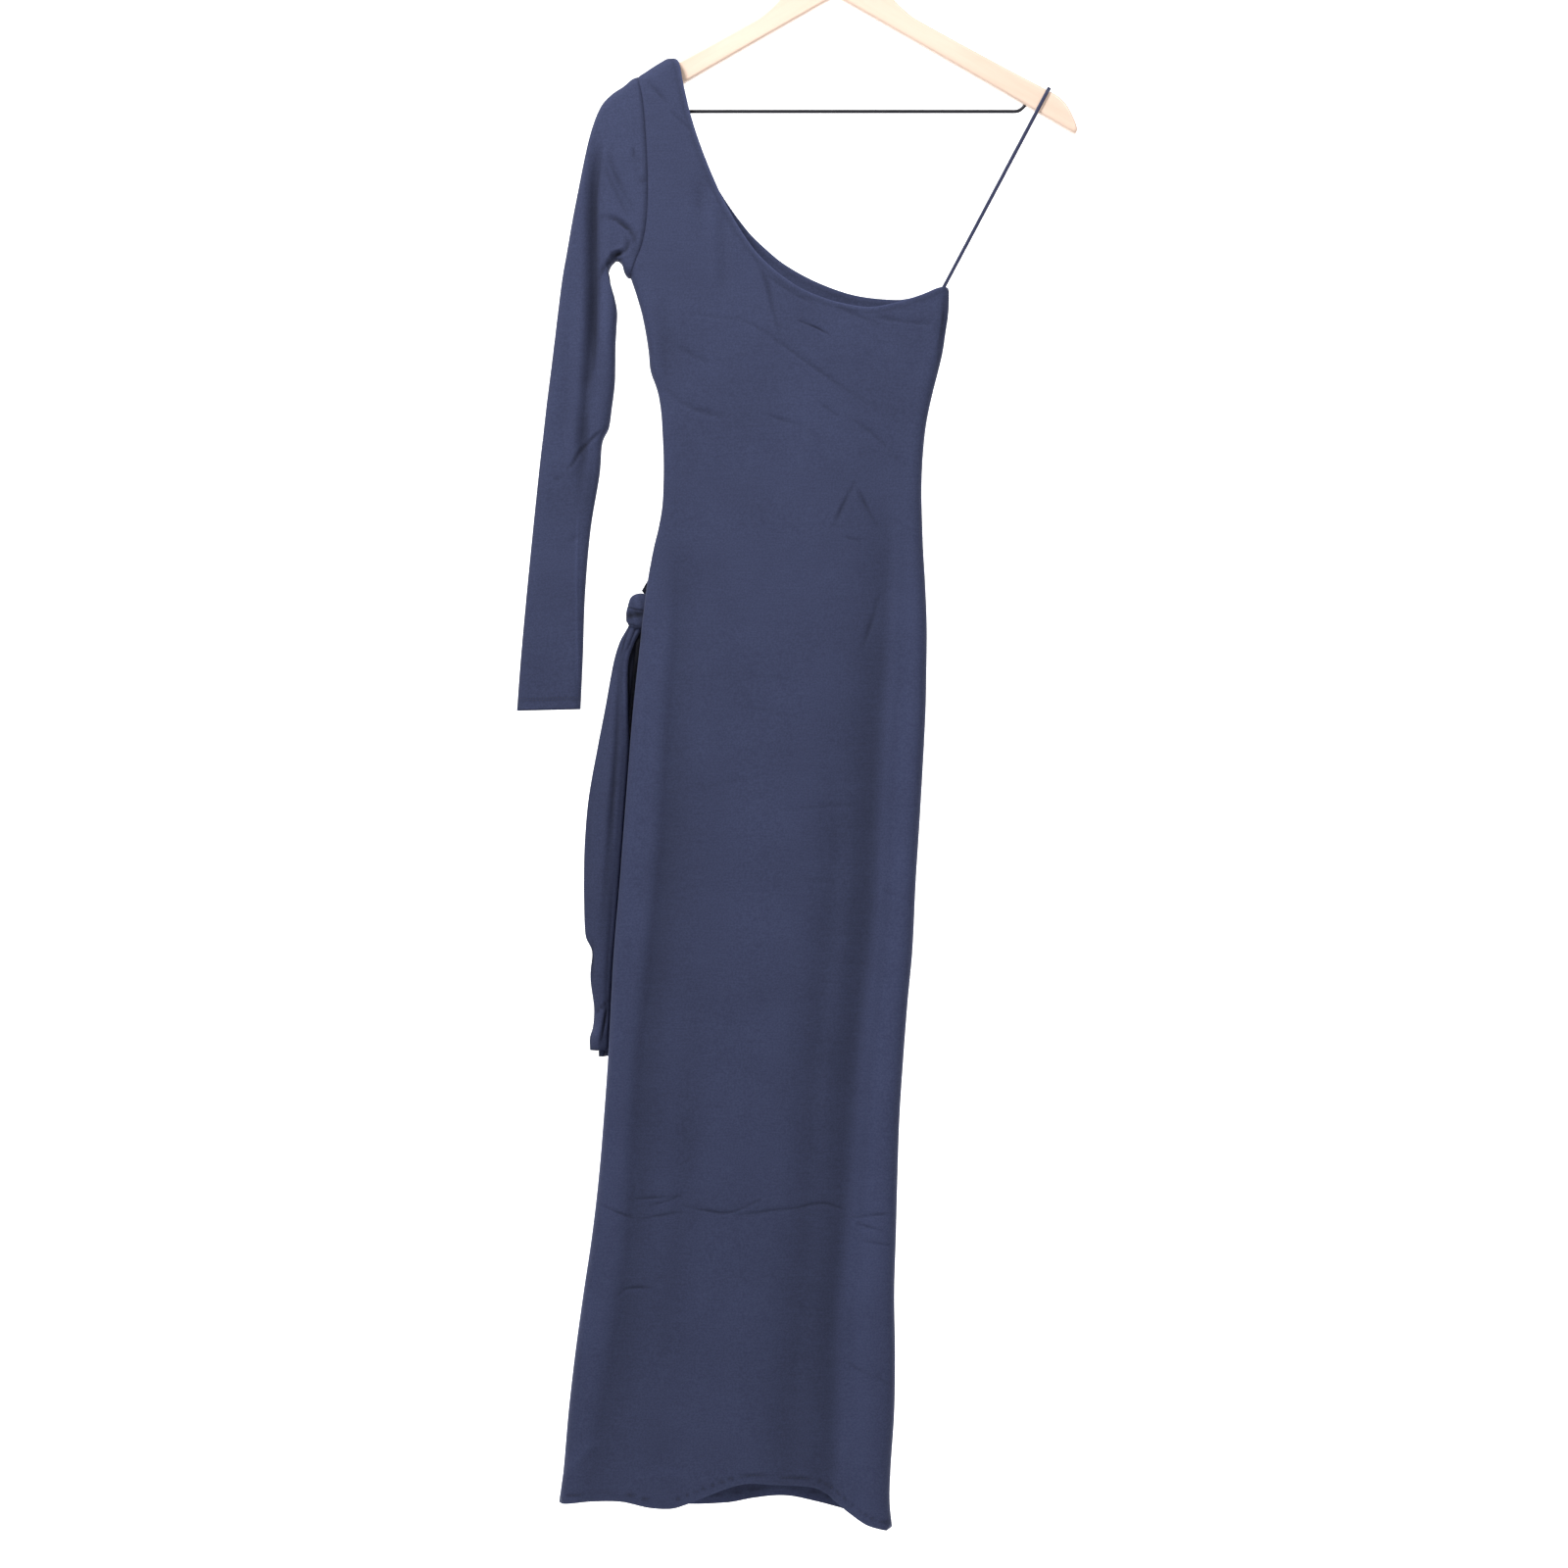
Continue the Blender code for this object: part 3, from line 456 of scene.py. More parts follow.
def makeWood():
    material = makePlain("beech", woodLook["plain"], woodLook["roughness"])
    tree = material.node_tree
    shader = tree.nodes["Principled BSDF"]
    place = addNode(tree, "TexCoord")
    axes = addNode(tree, "SeparateXYZ")
    tree.links.new(place.outputs["Object"], axes.inputs["Vector"])
    mirrored = addNode(tree, "CombineXYZ")  # both arms carry the grain along themselves
    tree.links.new(mathNode(tree, "ABSOLUTE", axes.outputs["X"]), mirrored.inputs["X"])
    tree.links.new(axes.outputs["Y"], mirrored.inputs["Y"])
    tree.links.new(axes.outputs["Z"], mirrored.inputs["Z"])
    turned = addNode(tree, "VectorRotate", rotation_type="Y_AXIS")
    turned.inputs["Angle"].default_value = -woodLook["armSlope"]
    tree.links.new(mirrored.outputs["Vector"], turned.inputs["Vector"])
    stretched = addNode(tree, "Mapping")
    stretched.inputs["Scale"].default_value = woodLook["grainScale"]
    tree.links.new(turned.outputs["Vector"], stretched.inputs["Vector"])
    grain = addNode(tree, "TexNoise")
    grain.inputs["Scale"].default_value = 1.0
    grain.inputs["Detail"].default_value = 5
    grain.inputs["Distortion"].default_value = 0.4
    tree.links.new(stretched.outputs["Vector"], grain.inputs["Vector"])
    ramp = addNode(tree, "ValToRGB")
    ramp.color_ramp.elements[0].position = 0.3
    ramp.color_ramp.elements[0].color = woodLook["dark"]
    ramp.color_ramp.elements[1].position = 0.68
    ramp.color_ramp.elements[1].color = woodLook["light"]
    tree.links.new(grain.outputs["Fac"], ramp.inputs["Fac"])
    tree.links.new(ramp.outputs["Color"], shader.inputs["Base Color"])
    bump = addNode(tree, "Bump")
    bump.inputs["Strength"].default_value = woodLook["grainStrength"]
    bump.inputs["Distance"].default_value = woodLook["grainBump"]
    tree.links.new(grain.outputs["Fac"], bump.inputs["Height"])
    tree.links.new(bump.outputs["Normal"], shader.inputs["Normal"])
    shader.inputs["Coat Weight"].default_value = woodLook["lacquer"]
    shader.inputs["Coat Roughness"].default_value = woodLook["lacquerRoughness"]
    return material


def makeMetal(name, colour, roughness):
    material = makePlain(name, colour, roughness, 1.0)
    tree = material.node_tree
    shader = tree.nodes["Principled BSDF"]
    place = addNode(tree, "TexCoord")
    smear = addNode(tree, "TexNoise")
    smear.inputs["Scale"].default_value = 140
    tree.links.new(place.outputs["Object"], smear.inputs["Vector"])
    spread = addNode(tree, "MapRange")
    spread.inputs["To Min"].default_value = roughness * 0.75
    spread.inputs["To Max"].default_value = roughness * 1.3
    tree.links.new(smear.outputs["Fac"], spread.inputs["Value"])
    tree.links.new(spread.outputs["Result"], shader.inputs["Roughness"])
    return material


# The body's form follows its solids; hems, sides and folds are a little nearer to the real dress
body = {
    # height, left edge, right edge, half depth
    "rows": [
        (-374, -196.8, 107.8, 13), (-389, -191.7, 108.7, 13), (-408, -186.2, 108.0, 13.5),
        (-427, -182.3, 105.3, 14), (-446, -179.5, 102.4, 14), (-463, -177.8, 98.4, 14),
        (-483, -171.0, 93.3, 14), (-502, -167.6, 89.0, 14), (-521, -166.2, 85.8, 14),
        (-549, -165.0, 83.3, 14), (-577, -165.3, 82.3, 14.5), (-596, -166.6, 82.6, 15),
        (-615, -170.0, 83.2, 15.5), (-634, -174.6, 83.9, 16), (-666, -180.4, 85.8, 16),
        (-707, -185.6, 87.4, 16.5), (-748, -190.4, 87.1, 17), (-795, -195.2, 86.0, 17),
        (-887, -202.4, 81.0, 17), (-953, -207.4, 76.8, 17), (-1019, -213.0, 73.6, 17),
        (-1066, -215.6, 69.2, 17), (-1122, -218.6, 64.9, 17), (-1179, -222.7, 61.2, 17),
        (-1235, -227.4, 59.3, 17.5), (-1292, -234.0, 57.8, 18), (-1348, -242.3, 56.2, 18),
        (-1404, -250.0, 57.0, 18), (-1461, -256.5, 56.2, 18), (-1517, -261.4, 52.6, 17),
        (-1547, -265.4, 51.8, 16), (-1574, -268.0, 54.4, 15),
    ],
    "underarm": (-196.8, -374.0),
    "rightCorner": (107.7, -383.2),
    "shoulder": [
        (-190.1, -181.8), (-184.9, -178.6), (-173.5, -171.0), (-162.0, -164.2), (-153.1, -163.6),
    ],
    "armhole": [
        (-190.1, -181.8), (-184.8, -204.7), (-181.3, -246.7), (-180.0, -280.0), (-181.0, -318.0),
        (-185.4, -343.1), (-191.4, -358.7), (-196.8, -374.0),
    ],
    "frontNeck": [
        (-153.1, -163.6), (-149.4, -171.1), (-146.2, -188.0), (-137.6, -223.7), (-125.4, -259.4),
        (-109.0, -297.4), (-89.6, -331.8), (-70.4, -356.9), (-39.8, -381.6), (-9.3, -395.3), (21.7, -402.6),
        (38.0, -403.0), (60.0, -398.2), (82.8, -390.9), (98.0, -384.6), (107.7, -383.2),
    ],
    "backNeck": [
        (-153.1, -163.6), (-149.6, -171.1), (-146.6, -188.0), (-138.4, -223.7), (-125.8, -256.6),
        (-112.7, -286.6), (-85.8, -325.2), (-66.6, -344.5), (-47.5, -359.8), (-16.8, -376.4), (19.8, -388.8),
        (58.1, -392.8), (77.2, -390.0), (92.2, -385.8), (107.7, -383.2),
    ],
    "frontHem": [
        (51.8, -1573.0), (32.1, -1568.0), (20.8, -1561.5), (0.1, -1545.0), (-11.2, -1536.0), (-22.5, -1531.0),
        (-59.1, -1528.4), (-81.7, -1526.7), (-97.7, -1529.5), (-129.6, -1541.5), (-143.2, -1547.0),
        (-157.0, -1551.0), (-177.6, -1550.2), (-204.8, -1544.4), (-235.0, -1544.6), (-265.4, -1547.0),
    ],
    "backHem": [
        (51.8, -1573.0), (25.0, -1565.0), (2.6, -1555.2), (-21.9, -1549.0), (-46.5, -1545.0),
        (-79.0, -1546.1), (-103.6, -1551.0), (-140.0, -1553.0), (-205.0, -1547.6), (-265.4, -1547.0),
    ],
    "leftFoot": -1546.0,  # where the side lines stop, just over the hem's ends
    "rightFoot": -1572.0,
    "cutTop": -463.0,  # the left side is open from here to the foot
    "cutFoot": -722.0,
    "cutTopEase": 60.0,  # over this height it opens, and closes again
    "cutFootEase": 12.0,
    "parting": 7.0,  # how far the open edges stand apart from the middle plane
    "backInset": 7.0,  # the back's open edge lies this much further in
    "sideRound": 12.0,  # tighter than the solids', as pressed cloth lies
    "shoulderRound": 12.0,
    "lip": 2.0,
    "seamGap": 0.15,
    "thickness": 1.0,
    "fullRelief": 6.0,  # where the panel is less deep than this, creases sink it less
    "pointStep": 3.7,
    "edgeSteps": (0.5, 1.4, 2.9, 5.0),
    "narrowCrease": 4.0,  # a crease with a smaller half width gets rows of points of its own
    "creaseRows": (-1.8, -1.05, -0.5, 0.0, 0.5, 1.05, 1.8),  # their places, in half widths
    "waves": [(42.0, 3.0, 0.5), (15.0, 9.0, 0.15)],  # size, seed and height
}
panelEdges = {
    # line, distance from it, half width, and how much the cloth sinks there
    "sunk": [
        ("armhole", 0.0, 0.8, 0.5), ("armhole", 3.0, 1.5, -0.2), ("neck", 4.5, 1.2, 0.3),
        ("neck", 0.0, 1.6, -0.3), ("hem", 8.0, 1.1, 0.3), ("hem", 0.0, 1.2, 0.2),
    ],
    # the same, with the painted shade there: above 0 in the seam grooves and the hem's turn, below 0 a
    # painted highlight along the neck and hem edges
    "shade": [
        ("armhole", 0.0, 0.8, 0.3), ("neck", 4.5, 1.0, 0.35), ("hem", 8.0, 1.0, 0.6),
        ("neck", 0.0, 1.2, -0.9), ("hem", 0.0, 1.2, -0.4),
    ],
    "sideShade": [("left", 0.0, 1.2, -0.7)],  # a painted highlight along the front's left edge, below the cut-out
    "insideShade": [("hem", 0.0, 9.0, -0.9)],  # painted light on the back's inner side, which shows at the hem where the front shades it
    "calm": 6.0,  # creases fade this near to the armhole and neck, down to the share below
    "calmLeft": 0.25,
}
frontFolds = [
    # lean, then rows of height, place across, half width and depth; a fold is wider on the side
    # it leans to. The two main folds are steep on their outer side and deeper than in the solids
    (0.55, [(-630, -152, 10, 0), (-662, -152, 12, 1.5), (-709, -150, 12, 2.5), (-755, -154, 13, 3),
            (-802, -157, 13, 3.5), (-864, -160, 14, 4), (-927, -164, 14, 4.2), (-1020, -173, 14, 4.5),
            (-1117, -184, 15, 4.5), (-1182, -188, 15, 4.5), (-1295, -195, 16, 4.2), (-1392, -208, 17, 4),
            (-1489, -227, 17, 3), (-1547, -236, 17, 2)]),
    (-0.6, [(-575, 49, 10, 0), (-631, 50, 12, 2), (-677, 47, 14, 3.5), (-740, 45, 15, 4.5),
            (-818, 38, 16, 6), (-880, 35, 16, 6.5), (-989, 30, 16, 6.5), (-1101, 18, 16, 6.5),
            (-1182, 11, 16, 6), (-1311, 2, 17, 6), (-1376, -5, 18, 6), (-1506, -6, 18, 5),
            (-1573, -8, 18, 4)]),
    (0.2, [(-1020, -138, 14, 0), (-1214, -143, 15, 2.5), (-1376, -159, 16, 2), (-1480, -166, 18, 0.5)]),
    (-0.3, [(-820, -11, 12, 0), (-895, -1, 13, 2), (-989, -7, 14, 3), (-1117, -21, 15, 3),
            (-1295, -31, 16, 3), (-1466, -45, 18, 3), (-1560, -48, 20, 2)]),
    (0.0, [(-370, -169, 12, 0), (-440, -160, 14, 1.6), (-520, -150, 15, 0)]),
]
backFolds = [
    (0.5, [(-620, -120, 13, 0), (-800, -128, 15, 5), (-1150, -160, 17, 6), (-1560, -196, 20, 5)]),
    (-0.2, [(-640, -30, 14, 0), (-900, -44, 16, 4), (-1250, -62, 18, 5), (-1560, -84, 20, 5)]),
    (-0.5, [(-600, 40, 13, 0), (-820, 36, 15, 5), (-1150, 14, 17, 6), (-1560, -2, 19, 4)]),
    (0.0, [(-380, 40, 14, 0), (-450, 30, 16, 3), (-560, 10, 16, 0)]),
]
frontCreases = [
    # points from end to end (x, z), half width, depth (a ridge is negative), lean to one side
    # near the shoulder and down the strap
    ([(-159, -216), (-138, -235)], 1.9, 0.56, 0.2),
    ([(-182, -185), (-170, -199), (-159, -211)], 2.5, 0.8, 0.2),
    ([(-129, -265), (-129, -300), (-131, -345)], 6.0, 1.0, 0.0),
    ([(-110, -305), (-109, -345), (-108, -392)], 5.0, 0.9, 0.2),
    ([(-162, -388), (-163, -440), (-161, -500)], 5.0, 0.5, 0.0),
    # under the neck
    ([(-82, -350), (-67, -379), (-60, -407), (-52, -436)], 2.5, 0.96, 0.3),
    ([(-70, -370), (-45, -388), (-18, -402)], 2.0, 0.72, 0.2),
    ([(-38, -416), (-22, -422), (-4, -431)], 1.1, 0.8, 0.2),
    ([(-6, -401), (16, -409), (44, -421)], 2.5, 0.8, -0.2),
    ([(34, -412), (60, -417), (92, -420)], 2.5, 0.8, 0.2),
    # the long drag line across the bust to the right side
    ([(-140, -410), (-110, -414), (-83, -419), (-54, -438), (-20, -462), (11, -484), (48, -507)],
     2.2, 0.55, 0.25),
    ([(5, -503), (42, -531), (68, -560)], 2.4, 0.5, 0.2),
    ([(-152, -441), (-120, -458)], 2.8, 0.64, 0.0),
    ([(-165, -481), (-138, -500), (-100, -511)], 2.8, 0.72, 0.2),
    ([(-72, -505), (-33, -517)], 2.1, 0.56, 0.0),
    ([(-16, -495), (4, -509)], 1.9, 0.56, 0.0),
    # the crumple at the waist
    ([(19, -568), (8, -590), (-4, -616)], 2.1, 0.88, 0.3),
    ([(19, -572), (30, -595), (42, -616)], 2.1, 0.88, -0.3),
    ([(8, -623), (24, -628)], 1.6, 0.56, 0.0),
    # the band across the skirt where it was folded
    ([(-226, -1260), (-208, -1268), (-190, -1275)], 1.5, 0.72, 0.2),
    ([(-197, -1256), (-172, -1254), (-147, -1252)], 1.5, 0.64, 0.2),
    ([(-180, -1262), (-164, -1258), (-147, -1252)], 1.4, 0.56, 0.2),
    ([(-190, -1275), (-170, -1271), (-147, -1267)], 1.5, 0.64, -0.2),
    ([(-150, -1261), (-125, -1266), (-102, -1268), (-70, -1255)], 1.5, 0.8, 0.2),
    ([(-96, -1271), (-63, -1266), (-40, -1264), (-21, -1260), (-8, -1260), (12, -1267)], 1.5, 0.8, 0.0),
    ([(12, -1274), (34, -1271), (58, -1269)], 1.6, 0.72, 0.2),
    ([(18, -1278), (32, -1282), (46, -1286)], 1.5, 0.64, 0.0),
    ([(24, -1295), (42, -1298), (60, -1300)], 1.5, 0.64, 0.2),
    ([(-212, -1350), (-199, -1341), (-172, -1340)], 1.4, 0.64, 0.2),
    ([(8, -1410), (22, -1418), (37, -1426)], 1.9, 0.56, 0.0),
    ([(36, -1422), (46, -1429), (58, -1434)], 1.9, 0.56, 0.0),
    # faint ones across the thigh
    ([(-98, -756), (-65, -757), (-30, -760)], 2.1, 0.18, 0.0),
    ([(-92, -785), (-58, -791), (-22, -800)], 2.1, 0.18, 0.2),
    ([(-136, -865), (-100, -857), (-66, -851)], 2.1, 0.2, 0.0),
    ([(-60, -886), (-20, -882), (28, -877)], 2.1, 0.3, 0.2),
    ([(-42, -948), (-12, -952), (20, -954)], 2.1, 0.22, 0.0),
    ([(42, -959), (56, -965), (74, -971)], 2.1, 0.4, 0.0),
    ([(42, -677), (34, -704), (25, -733)], 2.4, 0.8, 0.0),
    # along the right side's seam under the arm
    ([(104, -390), (102, -421), (99, -442), (97, -468)], 1.6, 1.1, 0.0),
    # near the hem
    ([(-258, -1518), (-244, -1500), (-226, -1483)], 5.0, -1.4, 0.0),
    ([(-190, -1518), (-162, -1517), (-134, -1518)], 4.0, -0.6, 0.0),
]
backCreases = [
    ([(-170, -190), (-150, -214), (-140, -240)], 2.5, 0.8, 0.2),
    ([(-150, -300), (-120, -352), (-84, -402), (-30, -450)], 6.0, 1.2, 0.2),
    ([(-178, -420), (-130, -440), (-70, -476), (-10, -520)], 5.0, 1.2, -0.2),
    ([(100, -430), (60, -452), (10, -486), (-50, -516)], 5.0, 1.2, 0.2),
    ([(92, -480), (40, -520), (0, -560)], 2.5, 0.8, 0.0),
    ([(-160, -560), (-120, -580), (-80, -586)], 2.2, 0.72, 0.2),
    ([(-150, -600), (-100, -622), (-60, -620)], 2.2, 0.72, 0.0),
    ([(70, -590), (30, -606), (-20, -600)], 2.2, 0.72, 0.2),
    ([(-200, -880), (-150, -872), (-110, -878)], 2.2, 0.56, 0.0),
    ([(-20, -930), (20, -924), (66, -934)], 2.2, 0.56, 0.2),
    ([(-226, -1262), (-190, -1268), (-150, -1260), (-110, -1266)], 1.6, 0.8, 0.2),
    ([(-104, -1264), (-60, -1270), (-20, -1262)], 1.6, 0.8, 0.0),
    ([(-16, -1268), (20, -1274), (56, -1270)], 1.6, 0.72, 0.2),
    ([(-240, -1380), (-200, -1372), (-160, -1378)], 1.9, 0.64, 0.0),
]


def parting(z):
    # 1 where the left side is open, 0 where it is sewn
    top = np.clip((body["cutTop"] - z) / body["cutTopEase"], 0, 1)
    foot = np.clip((z - body["cutFoot"]) / body["cutFootEase"], 0, 1)
    return np.minimum(top, foot)


def leftEdge(side, z):
    return atHeight(body["rows"], 1, z) + (body["backInset"] * parting(z) if side > 0 else 0)


def rightEdge(z):
    return atHeight(body["rows"], 2, z)


def panelDepth(side, x, z):
    # how far the plain panel stands from the plane between front and back; side is -1 for the front
    underarm, corner = body["underarm"], body["rightCorner"]
    fromLeft = np.where(z <= underarm[1], x - leftEdge(side, z), np.hypot(x - underarm[0], z - underarm[1]))
    fromRight = np.where(z <= corner[1], rightEdge(z) - x, np.hypot(x - corner[0], z - corner[1]))
    shoulder = nearLine(np.array(body["shoulder"]), x, z)[0]
    roundOff = rise(fromRight, body["sideRound"]) * rise(shoulder, body["shoulderRound"])
    atLeft = rise(fromLeft, body["sideRound"])
    full = atHeight(body["rows"], 3, z)
    lip = body["lip"] + body["parting"] * parting(z) * (1 - atLeft)
    folds = foldRelief(frontFolds if side < 0 else backFolds, x, z)[0]
    return lip + (full - body["lip"] - folds) * roundOff * atLeft


def alongEdges(rows, distances):
    return sum(amount * bell((distances[line] - at) / width) for line, at, width, amount in rows)


def panelRelief(side, x, z, lines):
    # creases, slow waves, seam grooves and finished edges: how far they sink a panel, and its painted shade
    # and painted highlights
    sunk, paintedShade = creaseRelief(x, z, frontCreases if side < 0 else backCreases)
    paintedShade += foldRelief(frontFolds if side < 0 else backFolds, x, z)[1]
    sunk += sum(height * waviness(x, z, size, seed + side) for size, seed, height in body["waves"])
    near = {line: nearLine(lines[line], x, z)[0] for line in ("armhole", "neck", "hem", "left")}
    sunk += alongEdges(panelEdges["sunk"], near)
    calm = np.minimum(near["armhole"], near["neck"]) / panelEdges["calm"]
    calm = np.clip(calm, panelEdges["calmLeft"], 1.0)
    paintedShade = paintedShade * calm + alongEdges(panelEdges["shade"], near)
    if side < 0:
        paintedShade += alongEdges(panelEdges["sideShade"], near) * (z < body["cutFoot"])
    else:
        paintedShade += alongEdges(panelEdges["insideShade"], near)
    return sunk * calm, paintedShade


def panelSurface(side, x, z, lines):
    depth = panelDepth(side, x, z)
    sunk, paintedShade = panelRelief(side, x, z, lines)
    return depth - sunk * np.clip(depth / body["fullRelief"], 0.2, 1.0), paintedShade


def panelLines(side):
    step = body["pointStep"]
    heights = np.arange(body["underarm"][1], body["leftFoot"], -step)[1:-1]
    rightHeights = np.arange(body["rightCorner"][1], body["rightFoot"], -step)[1:]
    return {
        "armhole": fineLine(body["armhole"], step),
        "shoulder": fineLine(body["shoulder"], 2.0),
        "neck": fineLine(body["frontNeck" if side < 0 else "backNeck"], step),
        "right": np.column_stack([rightEdge(rightHeights), rightHeights]),
        "hem": fineLine(body["frontHem" if side < 0 else "backHem"], step),
        "left": np.column_stack([leftEdge(side, heights[::-1]), heights[::-1]]),
    }


def insideOf(outline, x, z):
    inside = np.zeros(len(x), bool)
    for a, b in zip(outline, np.roll(outline, -1, axis=0)):
        if a[1] != b[1]:
            crosses = (a[1] > z) != (b[1] > z)
            inside ^= crosses & (x < a[0] + (z - a[1]) * (b[0] - a[0]) / (b[1] - a[1]))
    return inside


def offsetLine(outline, distance):
    # the outline's points moved inwards (the outline runs clockwise as seen from the front)
    before, after = np.roll(outline, 1, axis=0), np.roll(outline, -1, axis=0)
    ahead = after - before
    ahead /= np.hypot(*ahead.T)[:, None]
    return outline + distance * np.column_stack([ahead[:, 1], -ahead[:, 0]])


def makePanel(name, side, material):
    lines = panelLines(side)
    outline = np.vstack([
        lines["armhole"][::-1], lines["shoulder"][1:], lines["neck"][1:],
        lines["right"], lines["hem"], lines["left"],
    ])
    ring = np.vstack([outline, outline[:1]])
    step = body["pointStep"]
    low, high = outline.min(axis=0), outline.max(axis=0)
    grid = []
    for i, z in enumerate(np.arange(low[1], high[1], step * 0.866)):
        row = np.arange(low[0] + (i % 2) * step / 2, high[0], step)
        grid.append(np.column_stack([row, np.full(len(row), z)]))
    grid = np.vstack(grid)
    grid = grid[insideOf(outline, *grid.T)]
    grid = grid[nearLine(ring, *grid.T)[0] > body["edgeSteps"][-1] + step * 0.55]
    bands = []
    for distance in body["edgeSteps"]:
        band = offsetLine(outline, distance)
        band = band[insideOf(outline, *band.T)]
        bands.append(band[nearLine(ring, *band.T)[0] > distance * 0.92])
    fine = []
    for points, width, _, _ in frontCreases if side < 0 else backCreases:
        if width < body["narrowCrease"]:
            line = fineLine(points, max(1.6, 0.8 * width))
            grid = grid[nearLine(line, *grid.T)[0] > 2.0 * width + 1.0]
            ahead = np.gradient(line, axis=0)
            ahead /= np.hypot(*ahead.T)[:, None]
            across = np.column_stack([-ahead[:, 1], ahead[:, 0]])
            fine += [line + across * width * share for share in body["creaseRows"]]
    fine = np.vstack(fine)
    fine = fine[insideOf(outline, *fine.T)]
    fine = fine[nearLine(ring, *fine.T)[0] > body["edgeSteps"][-1] + 0.8]
    flat = np.vstack([outline, *bands, grid, fine])
    spots, _, faces, _, _, _ = delaunay_2d_cdt(
        [Vector(p) for p in flat], [], [list(range(len(outline)))], 1, 1e-4
    )
    x, z = np.array([p.x for p in spots]), np.array([p.y for p in spots])
    depth, paintedShade = panelSurface(side, x, z, lines)
    atSides = np.minimum(nearLine(lines["right"], x, z)[0], nearLine(lines["left"], x, z)[0]) < 4
    atShoulder = nearLine(lines["shoulder"], x, z)[0] < 0.05
    sewn = (nearLine(ring, x, z)[0] < 0.05) & (atSides | atShoulder) & ((parting(z) == 0) | (x > 0))
    depth = np.where(sewn, body["seamGap"], depth)
    faces = [face if side < 0 else face[::-1] for face in faces]
    mesh = meshFrom(name, np.column_stack([x, side * depth, z]), faces)
    addShade(mesh, paintedShade)
    panel = addPiece(name, mesh, material, ["front" if side < 0 else "back"])
    print(name, "points", len(spots), "area", round(surfaceArea(panel), 4))
    addShell(panel, body["thickness"])
    return panel


stitch = {"length": 2.3, "radius": 0.25, "every": 3.0, "lift": 0.05, "fromHem": 8.0}
sleeve = {
    # outer point (x, z), underarm point (x, z), half depth, from the armhole to the cuff
    "rings": [
        (-190.1, -181.8, -196.8, -374.0, 12.5), (-195.4, -184.0, -199.7, -373.4, 12.5),
        (-203.2, -190.6, -202.9, -368.5, 12.5), (-213.2, -197.2, -205.2, -361.0, 12.5),
        (-222.6, -206.2, -209.5, -357.5, 12.5), (-228.6, -217.0, -213.2, -359.6, 12.5),
        (-232.9, -228.5, -216.5, -364.3, 12.5), (-237.2, -243.5, -218.0, -371.3, 12.5),
        (-241.8, -264.1, -216.1, -379.8, 12.5), (-247.2, -291.4, -212.3, -392.0, 12),
        (-252.7, -319.6, -209.7, -406.1, 12), (-257.4, -346.9, -210.3, -422.1, 11.5),
        (-262.2, -374.1, -211.2, -439.0, 11.5), (-266.0, -403.3, -211.4, -457.8, 11),
        (-269.6, -433.4, -212.0, -476.6, 11), (-273.4, -464.4, -214.7, -498.2, 11),
        (-277.2, -494.5, -217.6, -517.5, 11), (-280.5, -523.6, -224.0, -532.5, 10.5),
        (-283.8, -551.8, -226.6, -563.0, 10.5), (-289.9, -610.1, -235.1, -614.8, 10),
        (-296.4, -675.8, -240.4, -675.8, 9.5), (-302.1, -738.8, -242.6, -737.9, 9),
        (-305.8, -788.7, -244.8, -787.3, 9),
    ],
    "armholePull": (1.0, 0.5, 0.2, 0.0),  # how much of the armhole's curve the first rings keep
    "endRound": 12.0,
    "tuck": 0.6,  # how far its edge reaches under the body's
    "ringStep": 2.4,
    "halfRing": 78,
    "thickness": 1.0,
    "cuffStitches": (8.5, 10.7),  # two rows, so far above the cuff
    "calm": 5.0,  # creases fade this near to the armhole
    "wave": (24.0, 0.4),  # size and height
    # line, distance from it, half width, and how much the cloth sinks there, then its painted shade (below 0
    # a painted highlight)
    "sunk": [("armhole", 0.0, 0.8, 0.5), ("armhole", 3.0, 1.5, -0.2), ("cuff", 8.5, 1.2, 0.3)],
    "shade": [("armhole", 0.0, 0.8, 0.3), ("cuff", 8.5, 1.0, 0.4), ("cuff", 0.0, 1.2, -0.4)],
}
sleeveFolds = [
    (0.2, [(-235, -226, 5, 0), (-300, -231, 6, 3), (-400, -232, 6, 4.5), (-470, -236, 6, 3.5),
           (-540, -242, 6, 2.0), (-620, -246, 6, 0)]),
]
